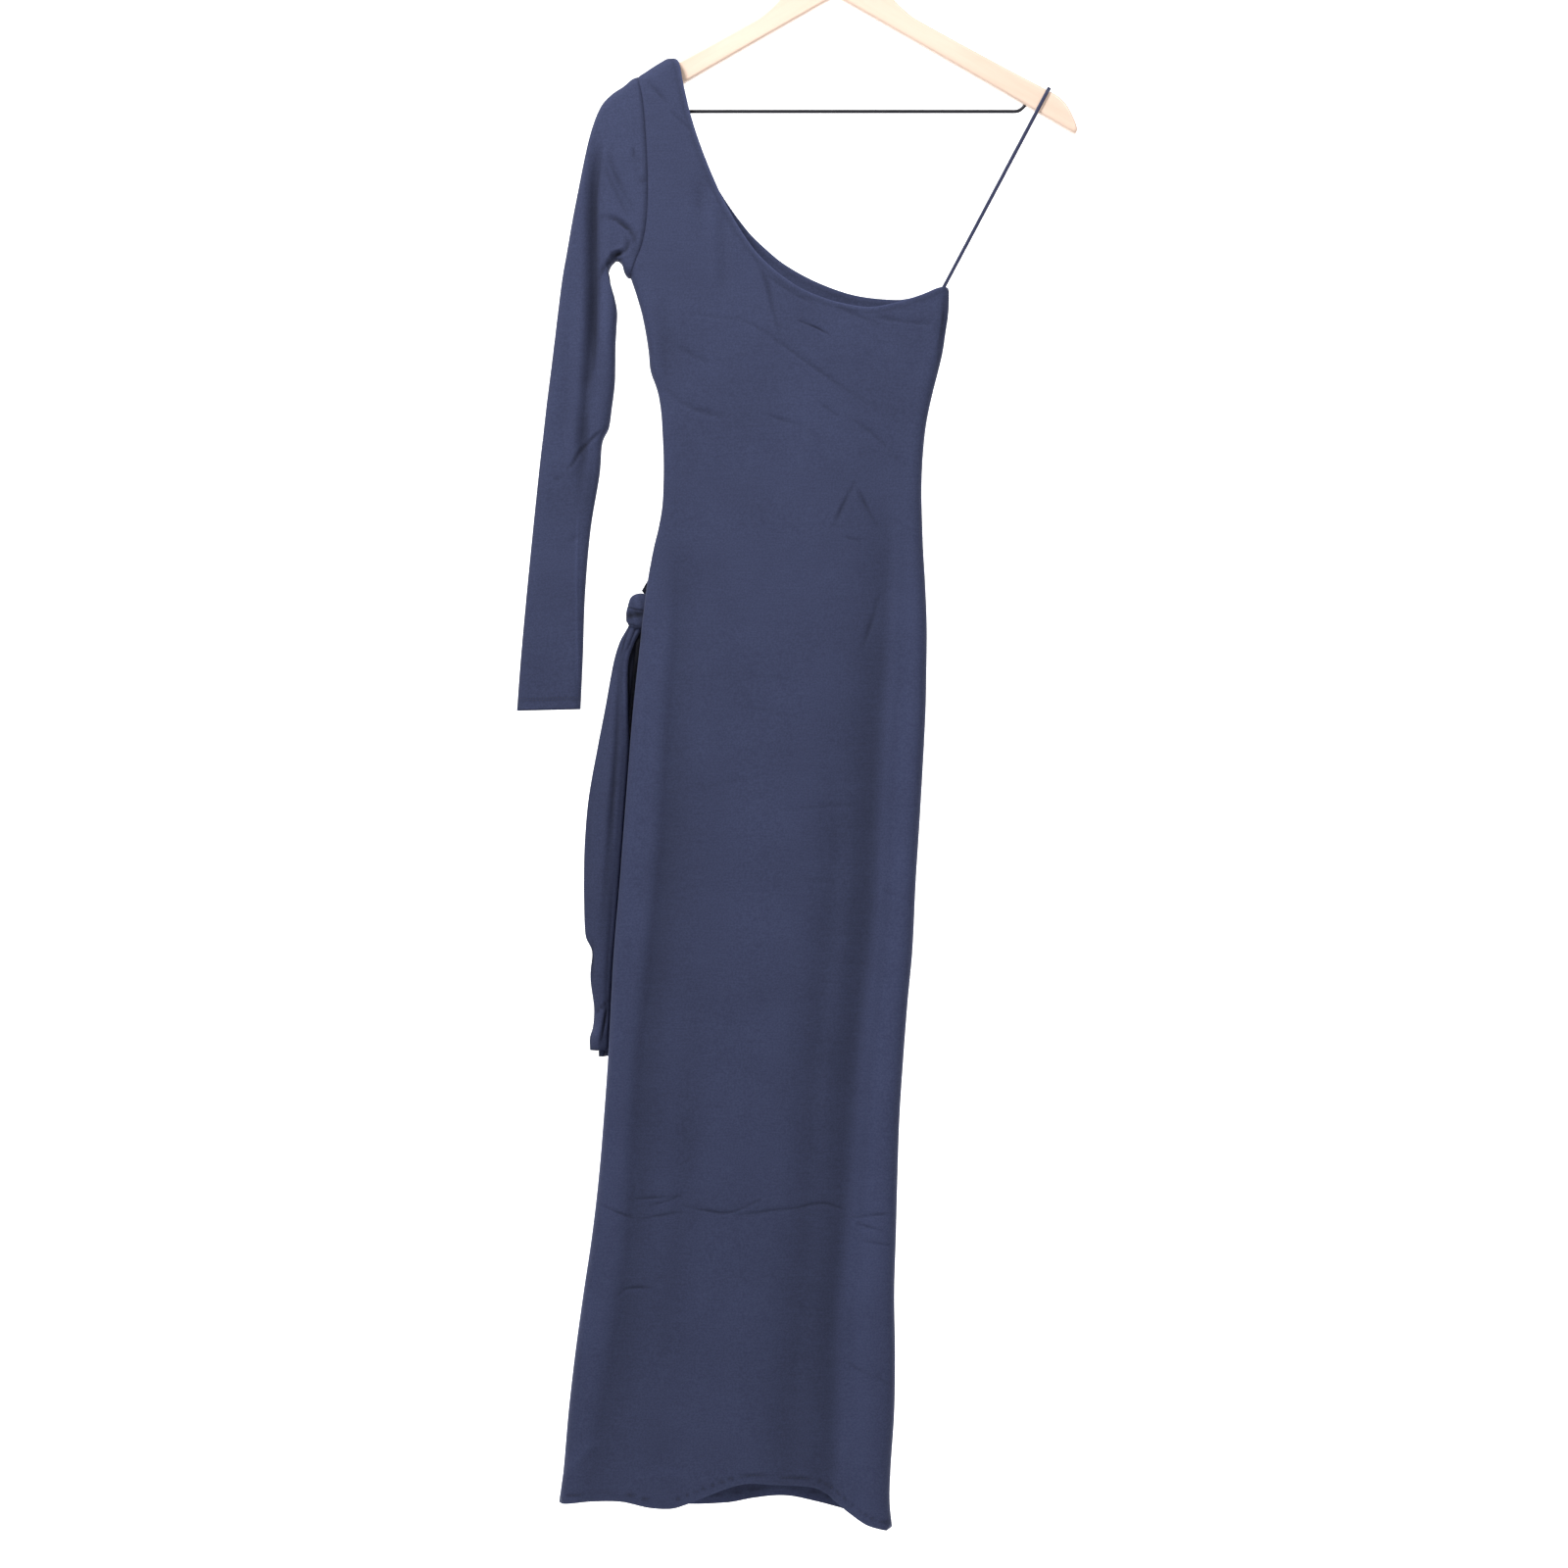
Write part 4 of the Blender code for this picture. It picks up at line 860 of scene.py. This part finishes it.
sleeveCreases = [
    # the deep valley down the inner side, the light ridge beside it and the thin line that carries it on
    ([(-223, -246), (-229, -290), (-230, -333), (-230, -399), (-232, -455), (-239, -482)], 5.0, 3.8, -0.55),
    ([(-234, -462), (-238, -483), (-240, -530), (-243, -580)], 4.4, 1.9, -0.4),
    ([(-232, -548), (-235, -580), (-240, -632)], 6.0, 1.0, 0.0),
    ([(-246, -592), (-247.5, -622), (-248, -654), (-248, -700), (-246, -769)], 1.4, -0.5, 0.0),
    ([(-222, -340), (-221, -400), (-222, -452)], 5.0, -1.0, 0.0),
    # short folds that run from the cap towards the underarm
    ([(-229, -317.5), (-214, -319), (-203, -325.2), (-195, -334), (-192.5, -345), (-195, -358)],
     2.0, 1.9, 0.3),
    ([(-227, -378), (-221, -366), (-210, -354), (-200.5, -349), (-198, -341), (-202, -336)], 2.0, 1.7, 0.2),
    ([(-216, -354), (-203, -352)], 2.4, 2.0, 0.0),
    ([(-218.9, -251), (-210.5, -277.3), (-191.7, -314)], 2.4, 0.9, 0.2),
    ([(-222, -268), (-208, -298), (-197, -320)], 2.6, 0.8, 0.2),
    ([(-191.7, -268.8), (-187, -279), (-182.3, -288.6)], 1.8, 0.7, -0.2),
    ([(-194.5, -248.2), (-193, -257), (-191.7, -266)], 1.6, 0.9, 0.0),
    # the elbow
    ([(-223.6, -520.8), (-234.9, -530.2), (-244.8, -540.5), (-251.8, -552.7), (-259.3, -560.2)],
     1.7, 1.3, 0.2),
    ([(-259.3, -564.9), (-265, -567), (-270.6, -568.7)], 1.8, 0.6, 0.0),
    ([(-244, -620), (-256, -628)], 2.6, 0.5, 0.0),
    ([(-262, -420), (-256, -470), (-262, -530)], 6.0, 0.6, 0.0),
]
sleeveBackCreases = [
    ([(-222, -250), (-230, -300), (-238, -360), (-240, -430), (-246, -500), (-252, -590)], 5.0, 2.6, 0.3),
    ([(-232, -330), (-214, -336), (-196, -352)], 2.6, 1.6, 0.2),
    ([(-234, -372), (-220, -374), (-208, -382)], 2.4, 1.0, 0.0),
    ([(-276, -540), (-256, -556), (-232, -562)], 2.6, 1.1, 0.2),
    ([(-278, -580), (-258, -590), (-240, -588)], 2.8, 0.9, -0.2),
]


def sleeveRings():
    rows = np.array(sleeve["rings"])
    order = np.arange(len(rows), dtype=float)
    gaps = np.hypot(*np.diff(rows[:, :2], axis=0).T)
    at = [0.0]
    for i, gap in enumerate(gaps):
        count = max(2, round(gap / sleeve["ringStep"]))
        at += [i + (k + 1) / count for k in range(count)]
    at = np.array(at)
    columns = [smoothValue(order, rows[:, k], at) for k in range(5)]
    pull = smoothValue(np.arange(4.0), sleeve["armholePull"], at)
    return at, np.column_stack(columns), pull


def makeSleeve(material):
    at, rows, pulls = sleeveRings()
    half = sleeve["halfRing"]
    share = (1 - np.cos(np.pi * np.arange(half + 1) / half)) / 2
    seam = fineLine(body["armhole"], 1.0)
    seamAt = np.linspace(0, 1, len(seam))
    seamX, seamZ = np.interp(share, seamAt, seam[:, 0]), np.interp(share, seamAt, seam[:, 1])
    first = rows[0]
    straightX = first[0] + (first[2] - first[0]) * share
    straightZ = first[1] + (first[3] - first[1]) * share
    toCuff = np.hypot(rows[:, 0] - rows[-1, 0], rows[:, 1] - rows[-1, 1])
    points, paintedShades = [], []
    for index, (row, pull) in enumerate(zip(rows, pulls)):
        x = row[0] + (row[2] - row[0]) * share + (seamX - straightX) * pull
        z = row[1] + (row[3] - row[1]) * share + (seamZ - straightZ) * pull
        length = math.hypot(row[2] - row[0], row[3] - row[1])
        ends = rise(length * share, sleeve["endRound"]) * rise(length * (1 - share), sleeve["endRound"])
        depth = body["lip"] + (row[4] - body["lip"]) * ends
        depth += (panelDepth(-1, seamX, seamZ) - depth) * pull
        near = {"armhole": nearLine(seam, x, z)[0], "cuff": toCuff[index]}
        edge, shade = alongEdges(sleeve["sunk"], near), alongEdges(sleeve["shade"], near)
        calm = np.clip(near["armhole"] / sleeve["calm"], 0.0, 1.0) if index else np.zeros(half + 1)
        inward = sleeve["tuck"] * bell(at[index] / 0.1)
        walls, shades = [], []
        for side, folds, creases in ((-1, sleeveFolds, sleeveCreases), (1, [], sleeveBackCreases)):
            longFold, longPaintedShade = foldRelief(folds, x, z)
            short, shortPaintedShade = creaseRelief(x, z, creases)
            wave = sleeve["wave"][1] * waviness(x, z, sleeve["wave"][0], 4.0 + 2.5 * side) * ends * calm
            y = side * (depth - (longFold + short) * ends * calm - edge - wave)
            walls.append(np.column_stack([x + inward, y, z]))
            # painted shade in the folds and creases and along the armhole seam and cuff, with a painted
            # highlight on the cuff's edge
            shades.append((longPaintedShade + shortPaintedShade) * calm + shade)
        points.append(np.vstack([walls[0], walls[1][::-1]]))
        paintedShades.append(np.concatenate([shades[0], shades[1][::-1]]))
    columns = 2 * (half + 1)
    mesh = meshFrom("sleeveCloth", np.vstack(points), gridFaces(len(points), columns, closed=True))
    addShade(mesh, np.concatenate(paintedShades))
    bm = bmesh.new()
    bm.from_mesh(mesh)
    bmesh.ops.recalc_face_normals(bm, faces=bm.faces)
    bm.to_mesh(mesh)
    bm.free()
    piece = addPiece("sleeveCloth", mesh, material, ["sleeve"])
    print("sleeve area", round(surfaceArea(piece), 4))
    addShell(piece, sleeve["thickness"])
    stitched = [points[int(np.argmin(np.abs(toCuff - up)))] for up in sleeve["cuffStitches"]]
    return piece, [ring + (0, stitch["lift"], 0) * np.sign(ring) for ring in stitched]


tie = {
    "thickness": 1.2,
    "step": 3.2,
    "columns": 34,
    "reach": 5.0,  # the inner tail keeps clear of the back from this far outside its edge
    "clearance": 2.4,
    "wedgeShade": 1.6,  # painted shade: the inner tail is coloured dark where it lies deep behind the outer one, above this height
    "wedgeFoot": -960.0,  # above this height
    "wedgeEase": 90.0,
    "wave": (14.0, 0.4),  # size and height
    # height, left, right, back, fold
    "outer": [
        (-703.0, -196.5, -184.5, 1.2, 1.0), (-711.4, -200.5, -187.5, 1.6, 1.6),
        (-723, -206.7, -194.0, 1.8, 2.4), (-742, -212.4, -200.0, 2.0, 3.0),
        (-784, -220.3, -200.3, 3.0, 4.5), (-822, -227.7, -199.6, 3.5, 6.0),
        (-873, -236.8, -203.0, 3.5, 6.5), (-916, -240.5, -206.2, 3.5, 6.5),
        (-953, -241.3, -209.0, 3.5, 6.5), (-972, -241.1, -210.6, 3.5, 6.5),
        (-994, -240.5, -212.4, 3.5, 6.0), (-1006.7, -239.1, -213.5, 3.5, 5.5),
        (-1016.1, -234.4, -214.3, 3.5, 5.0), (-1023.7, -233.7, -214.9, 3.5, 5.0),
        (-1045.3, -234.9, -216.2, 3.5, 5.0), (-1071.6, -231.5, -217.4, 3.5, 4.5),
        (-1083.8, -231.3, -218.0, 3.5, 4.5), (-1094.2, -232.6, -218.6, 3.5, 5.0),
        (-1102.6, -235.3, -219.1, 3.5, 5.0), (-1114.5, -235.2, -219.8, 3.5, 4.0),
    ],
    "inner": [
        (-703.5, -192.5, -184.5, 3.4, 0.6), (-711, -196.5, -184.5, 4.6, 0.6),
        (-740, -206.0, -184.5, 6.6, 1.0), (-790, -214.0, -186.5, 7.0, 1.0),
        (-850, -221.0, -190.5, 7.2, 1.0), (-950, -229.0, -198.0, 7.2, 1.0),
        (-1050, -228.5, -206.5, 7.2, 1.0), (-1121, -227.5, -210.0, 7.2, 1.0),
    ],
}
tieCreases = [
    # gathers under the knot, then the long folds down the tail
    ([(-190, -704), (-194, -716), (-200, -732)], 1.2, 1.0, 0.0),
    ([(-195, -704), (-201, -718), (-206, -736)], 1.2, 1.0, 0.0),
    ([(-200, -712), (-206, -740), (-211, -833), (-216, -895), (-221, -958), (-226, -1010)],
     3.2, 1.6, 0.2),
    ([(-212, -845), (-215, -934), (-217, -1014)], 2.8, 0.6, -0.2),
    ([(-232, -862), (-236, -900), (-237, -950)], 2.8, 0.4, 0.0),
    ([(-232.8, -1008), (-232.6, -1026), (-232.4, -1048)], 1.4, 1.0, 0.0),
    # the turned end
    ([(-217.1, -1064.6), (-223, -1071), (-229.6, -1077.9)], 1.2, 1.2, 0.3),
    ([(-226, -1074), (-229, -1092), (-230, -1112)], 4.0, -1.8, 0.0),
    ([(-219, -1070), (-222.5, -1090), (-226.7, -1109)], 1.5, 1.8, 0.0),
]


def tailMesh(name, rows, behind):
    heights = fineLine([(r[0], 0.0) for r in rows], tie["step"])[:, 0]
    share = np.linspace(0, 1, tie["columns"])
    points, paintedShades = [], []
    for z in heights:
        left, right, back, fold = [float(atHeight(rows, k, z)) for k in range(1, 5)]
        x = left + (right - left) * share
        y = back - fold * np.sin(np.pi * share)
        level = np.full(len(x), z)
        if behind:
            lying = x > leftEdge(1, z) - tie["reach"]
            clear = panelDepth(1, x + tie["reach"], level) + tie["clearance"]
            y = np.where(lying, np.maximum(y, clear), y)
            # painted shade: the inner tail is coloured dark above wedgeFoot, where it lies deep behind the
            # outer one
            dark = float(np.clip((z - tie["wedgeFoot"]) / tie["wedgeEase"], 0, 1))
            paintedShades.append(np.full(len(x), tie["wedgeShade"] * dark))
        else:
            sunk, paintedShade = creaseRelief(x, level, tieCreases)
            turnedEdge = bell((right - x - 1.5) / 1.5)
            y = y + sunk * np.sin(np.pi * share) ** 0.4 - turnedEdge
            # painted shade from the creases, and a painted highlight along the turned right edge
            paintedShades.append(paintedShade - 0.6 * bell((right - x) / 1.6))
        y = y + tie["wave"][1] * waviness(x, level, tie["wave"][0], 4.0 if behind else 8.0)
        points.append(np.column_stack([x, y, level]))
    mesh = meshFrom(name, np.vstack(points), gridFaces(len(points), tie["columns"]))
    addShade(mesh, np.concatenate(paintedShades))
    return mesh


def makeTails(material):
    tails = []
    for name, rows, behind, node in (
        ("tieTailOuter", tie["outer"], False, "tie_tail_outer"),
        ("tieTailInner", tie["inner"], True, "tie_tail_inner"),
    ):
        tail = addPiece(name, tailMesh(name, rows, behind), material, [node])
        print(name, "area", round(surfaceArea(tail), 4))
        addShell(tail, tie["thickness"])
        tails.append(tail)
    return tails


knotForm = {
    "centre": (-187.0, 0.6, -693.5),
    "half": (14.0, 6.4, 17.5),
    "fullBelow": 1.0,  # how much fuller than a ball it is below and above its middle
    "fullAbove": 0.2,
    "swell": 0.08,
    "grooveWidth": 0.13,
    "grooveDepths": (0.13, 0.16),  # the slanting wrap's, then the one's that goes across
    "pleat": 0.025,
    # painted shade in the grooves and pleats, and on the side towards the body
    "grooveShade": 7.0,
    "pleatShade": 6.0,
    "innerShade": 0.9,
}


def makeKnot(material):
    bm = bmesh.new()
    bmesh.ops.create_uvsphere(bm, u_segments=80, v_segments=64, radius=1)
    centre, half = Vector(knotForm["centre"]), knotForm["half"]
    paintedShades = []
    for vertex in bm.verts:
        x, y, z = vertex.co
        turn = math.atan2(y, x)
        full = math.sqrt(1 + (knotForm["fullBelow"] if z < 0 else knotForm["fullAbove"]) * z * z)
        swell = 1 + knotForm["swell"] * math.sin(3 * turn + 4 * z)
        wraps = [math.sin(0.5 * turn + 3.4 * z + 0.6), (z + 0.30 + 0.12 * math.sin(turn)) / 1.5]
        groove = 0.0
        for wrap, depth in zip(wraps, knotForm["grooveDepths"]):
            groove += depth * math.exp(-((wrap / knotForm["grooveWidth"]) ** 2))
        groove *= 1 - z**4
        pleat = knotForm["pleat"] * math.sin(9 * turn + 5 * z)
        size = (swell - groove * (0.25 + 0.75 * max(0.0, 1 - 1.4 * x * x)) - pleat) * full
        # painted shade in the grooves and pleat hollows, a painted highlight on the pleats' tops, and painted
        # shade on the side that turns in towards the body
        shade = knotForm["grooveShade"] * groove + knotForm["pleatShade"] * pleat
        paintedShades.append(shade + knotForm["innerShade"] * max(0.0, x - 0.45))
        spot = Vector((half[0] * x * size, half[1] * y * (1 - groove) * full, half[2] * z))
        vertex.co = (centre + spot) * mm
    mesh = bpy.data.meshes.new("tieKnot")
    bm.to_mesh(mesh)
    bm.free()
    addShade(mesh, np.array(paintedShades))
    return addPiece("tieKnot", mesh, material, ["tie_knot"])


bandForm = {
    "start": (-171.6, 5.4, -660.5),
    "end": (-184.0, 0.2, -676.4),
    "across": (0.62, 0.0, -0.78),
    "half": (7.0, 3.6),  # half width at the start and at the knot
    "arch": 1.4,
    "pleat": 0.5,
    "steps": 16,
    # painted shade: the whole band is coloured dark, as it lies behind, in shadow
    "shade": 1.2,
}


def makeBand(material):
    start, end, across = (Vector(bandForm[key]) for key in ("start", "end", "across"))
    steps = bandForm["steps"]
    points = []
    for i in range(steps + 1):
        t = i / steps
        half = bandForm["half"][0] + (bandForm["half"][1] - bandForm["half"][0]) * t
        for k in range(steps + 1):
            s = -1 + 2 * k / steps
            pleat = bandForm["pleat"] * math.cos(2.5 * math.pi * s) * t
            arched = Vector((0, bandForm["arch"] * (1 - s * s) + pleat, 0))
            points.append(start.lerp(end, t) + across * half * s + arched)
    mesh = meshFrom("tieBand", points, gridFaces(steps + 1, steps + 1))
    # painted shade over the whole band
    addShade(mesh, np.full(len(points), bandForm["shade"]))
    piece = addPiece("tieBand", mesh, material, ["tie_band"])
    print("band area", round(surfaceArea(piece), 5))
    addShell(piece, tie["thickness"])
    return piece


loop = {
    "foot": (99.8, -389.5),
    "top": (204.6, -191.8),
    "width": 3.4,
    "thickness": 0.7,
    "overArm": 27.0,  # length of ribbon beside the wood
    "sewnApart": 1.1,
    "clearance": 0.3,
    "bend": [(4.5, 0.0), (1.6, 1.6), (0.3, 3.3), (0.0, 6.5)],  # below its top, and so much further in
}
hanger = {
    # right half of the board, from the apex of its lower edge round to the top of its neck
    "half": [
        (0.0, -104.0), (88.5, -154.6), (182.5, -208.8), (226.0, -234.2), (229.8, -235.4), (231.4, -231.2),
        (227.6, -220.0), (221.0, -207.9), (212.5, -199.6), (204.1, -194.8), (156.1, -169.4), (88.5, -132.5),
        (71.5, -122.2), (55.6, -107.2), (36.0, -84.0), (22.0, -72.5), (9.0, -68.0),
    ],
    "halfThickness": 5.5,
    "edgeRound": 2.5,
    "barZ": -214.0,
    # right half of the bar and its raised end: x, height over the bar
    "bar": [
        (120.0, 0.0), (166.0, 0.0), (172.0, 0.0), (176.0, 1.0), (180.0, 4.4), (184.5, 9.4), (188.1, 13.0),
    ],
    "barRadius": 1.75,
    "hookShank": [(0.0, -82.0), (0.0, -68.0), (0.0, -58.0), (1.6, -51.5), (6.0, -46.0)],
    "hookRadius": 22.0,
    "hookWire": 1.9,
    "hookFrom": -52.0,  # degrees, then the turn of each step
    "hookTurn": 15.5,
    "hookSteps": 19,
}


def makeLoop(material):
    foot, top = Vector(loop["foot"]), Vector(loop["top"])
    up = (top - foot).normalized()
    across = Vector((up.y, -up.x))
    length = (top - foot).length
    apart = hanger["halfThickness"] + loop["clearance"] + loop["thickness"]
    side = [(0.0, loop["sewnApart"]), (length - loop["overArm"], apart)]
    side += [(length - below, apart - further) for below, further in loop["bend"]]
    half = fineLine(side, 1.5)
    path = np.vstack([half, np.column_stack([half[::-1, 0], -half[::-1, 1]])[1:]])
    points = []
    for s, y in path:
        centre = foot + up * s
        for w in np.linspace(-loop["width"] / 2, loop["width"] / 2, 5):
            points.append((centre.x + across.x * w, y, centre.y + across.y * w))
    mesh = meshFrom("ribbonLoop", points, gridFaces(len(path), 5))
    piece = addPiece("ribbonLoop", mesh, material, ["hanging_loop"])
    addShell(piece, loop["thickness"])
    return piece


def makeBoard(material):
    half = fineLine(hanger["half"], 2.0)
    outline = [tuple(p) for p in half] + [(-x, z) for x, z in half[::-1][:-1]]
    curve = bpy.data.curves.new("board", "CURVE")
    curve.dimensions = "2D"
    curve.fill_mode = "BOTH"
    curve.extrude = (hanger["halfThickness"] - hanger["edgeRound"]) * mm
    curve.bevel_depth = hanger["edgeRound"] * mm
    curve.bevel_resolution = 4
    curve.offset = -hanger["edgeRound"] * mm
    spline = curve.splines.new("POLY")
    spline.use_cyclic_u = True
    spline.points.add(len(outline) - 1)
    for point, (x, z) in zip(spline.points, outline):
        point.co = (x * mm, z * mm, 0, 1)
    flat = bpy.data.objects.new("flatBoard", curve)
    bpy.context.scene.collection.objects.link(flat)
    flat.rotation_euler = (math.pi / 2, 0, 0)
    bpy.context.view_layer.update()
    graph = bpy.context.evaluated_depsgraph_get()
    mesh = bpy.data.meshes.new_from_object(flat.evaluated_get(graph))
    mesh.transform(flat.matrix_world)
    mesh.name = "woodenArms"
    bpy.data.objects.remove(flat)
    mesh.materials.clear()
    piece = addPiece("woodenArms", mesh, material, ["hanger_arms"])
    mesh.set_sharp_from_angle(angle=math.radians(40))
    return piece


def makeWire(name, points, radius, material, node):
    curve = bpy.data.curves.new(name, "CURVE")
    curve.dimensions = "3D"
    curve.bevel_depth = radius * mm
    curve.bevel_resolution = 5
    curve.use_fill_caps = True
    line = fineLine(points, 1.6)
    spline = curve.splines.new("POLY")
    spline.points.add(len(line) - 1)
    for point, (x, z) in zip(spline.points, line):
        point.co = (x * mm, 0, z * mm, 1)
    wire = bpy.data.objects.new(name, curve)
    bpy.context.scene.collection.objects.link(wire)
    graph = bpy.context.evaluated_depsgraph_get()
    mesh = bpy.data.meshes.new_from_object(wire.evaluated_get(graph))
    bpy.data.objects.remove(wire)
    mesh.materials.clear()
    return addPiece(name, mesh, material, [node])


def makeBar(material):
    right = [(x, hanger["barZ"] + over) for x, over in hanger["bar"]]
    points = [(-x, z) for x, z in right[::-1]] + right
    return makeWire("steelBar", points, hanger["barRadius"], material, "hanger_bar")


def makeHook(material):
    radius = hanger["hookRadius"]
    centre = -radius + hanger["hookWire"]
    points = list(hanger["hookShank"])
    for i in range(hanger["hookSteps"]):
        angle = math.radians(hanger["hookFrom"] + hanger["hookTurn"] * i)
        points.append((radius * math.cos(angle), centre + radius * math.sin(angle)))
    return makeWire("chromeHook", points, hanger["hookWire"], material, "hanger_hook")


def makeStitches(name, lines, material):
    # short threads laid end to end on the cloth; each line is points (x, y, z)
    half, radius = stitch["length"] / 2, stitch["radius"]
    bm = bmesh.new()
    for places in lines:
        line = fineLine(places, stitch["every"])
        for a, b in zip(line, line[1:]):
            middle, ahead = Vector((a + b) / 2), Vector(b - a).normalized()
            turn = Vector((1, 0, 0)).rotation_difference(ahead)
            made = bmesh.ops.create_icosphere(bm, subdivisions=1, radius=1)
            for vertex in made["verts"]:
                local = Vector((vertex.co.x * half, vertex.co.y * radius, vertex.co.z * radius))
                vertex.co = (middle + turn @ local) * mm
    mesh = bpy.data.meshes.new(name)
    bm.to_mesh(mesh)
    bm.free()
    return addPiece(name, mesh, material)


def hemStitches(name, side, material):
    hem = fineLine(body["frontHem" if side < 0 else "backHem"], stitch["every"])
    x, z = offsetLine(hem, stitch["fromHem"])[3:-3].T
    depth = panelSurface(side, x, z, panelLines(side))[0]
    places = np.column_stack([x, side * (depth + stitch["lift"]), z])
    return makeStitches(name, [places], material)


def makeStage():
    profile = [(studio["frontY"], studio["floorZ"]), (studio["wallY"] - studio["bend"], studio["floorZ"])]
    for i in range(1, studio["bendSteps"] + 1):
        angle = math.pi / 2 * i / studio["bendSteps"]
        profile.append((
            studio["wallY"] - studio["bend"] * (1 - math.sin(angle)),
            studio["floorZ"] + studio["bend"] * (1 - math.cos(angle)),
        ))
    profile.append((studio["wallY"], studio["wallTop"]))
    points = [(x, y, z) for y, z in profile for x in (-studio["halfWidth"], studio["halfWidth"])]
    mesh = meshFrom("backdrop", points, gridFaces(len(profile), 2))
    paper = makePlain("paper", (0.94, 0.94, 0.94, 1), 0.9)
    tree = paper.node_tree
    shader = tree.nodes["Principled BSDF"]
    shader.inputs["Emission Color"].default_value = (1.0, 1.0, 1.0, 1)
    place = addNode(tree, "TexCoord")
    axes = addNode(tree, "SeparateXYZ")
    tree.links.new(place.outputs["Object"], axes.inputs["Vector"])
    glow = addNode(tree, "MapRange")
    glow.inputs["From Min"].default_value = studio["glowFrom"]
    glow.inputs["From Max"].default_value = studio["glowFull"]
    glow.inputs["To Max"].default_value = studio["glow"]
    tree.links.new(axes.outputs["Y"], glow.inputs["Value"])
    tree.links.new(glow.outputs["Result"], shader.inputs["Emission Strength"])
    mesh.materials.append(paper)
    mesh.shade_smooth()
    backdrop = bpy.data.objects.new("backdrop", mesh)
    bpy.context.scene.collection.objects.link(backdrop)


makeCamera()
makeLights()
makeStage()
print("camera, lights and stage made")

knit = makeKnitGroup()
bodyJersey = makeJersey("bodyJersey", knit, 0.0)
sleeveJersey = makeJersey("sleeveJersey", knit, math.radians(7))
tieJersey = makeJersey("tieJersey", knit, math.radians(4), 0.95)
ribbon = makePlain("satinRibbon", (0.03, 0.035, 0.085, 1), 0.4)
thread = makePlain("thread", (0.020, 0.024, 0.052, 1), 0.6)
wood = makeWood()
steel = makeMetal("darkSteel", (0.07, 0.07, 0.08, 1), 0.35)
chrome = makeMetal("chrome", (0.75, 0.75, 0.77, 1), 0.15)
print("materials made")

front = makePanel("frontCloth", -1, bodyJersey)
back = makePanel("backCloth", 1, bodyJersey)
print("body made")
sleeveCloth, cuffLines = makeSleeve(sleeveJersey)
print("sleeve made")
outerTail, innerTail = makeTails(tieJersey)
knot = makeKnot(tieJersey)
band = makeBand(tieJersey)
print("tie made")
ribbonLoop = makeLoop(ribbon)
board = makeBoard(wood)
bar = makeBar(steel)
hook = makeHook(chrome)
print("hanger made")
frontHemThread = hemStitches("frontHemThread", -1, thread)
backHemThread = hemStitches("backHemThread", 1, thread)
cuffThread = makeStitches("cuffThread", cuffLines, thread)
print("stitches made")
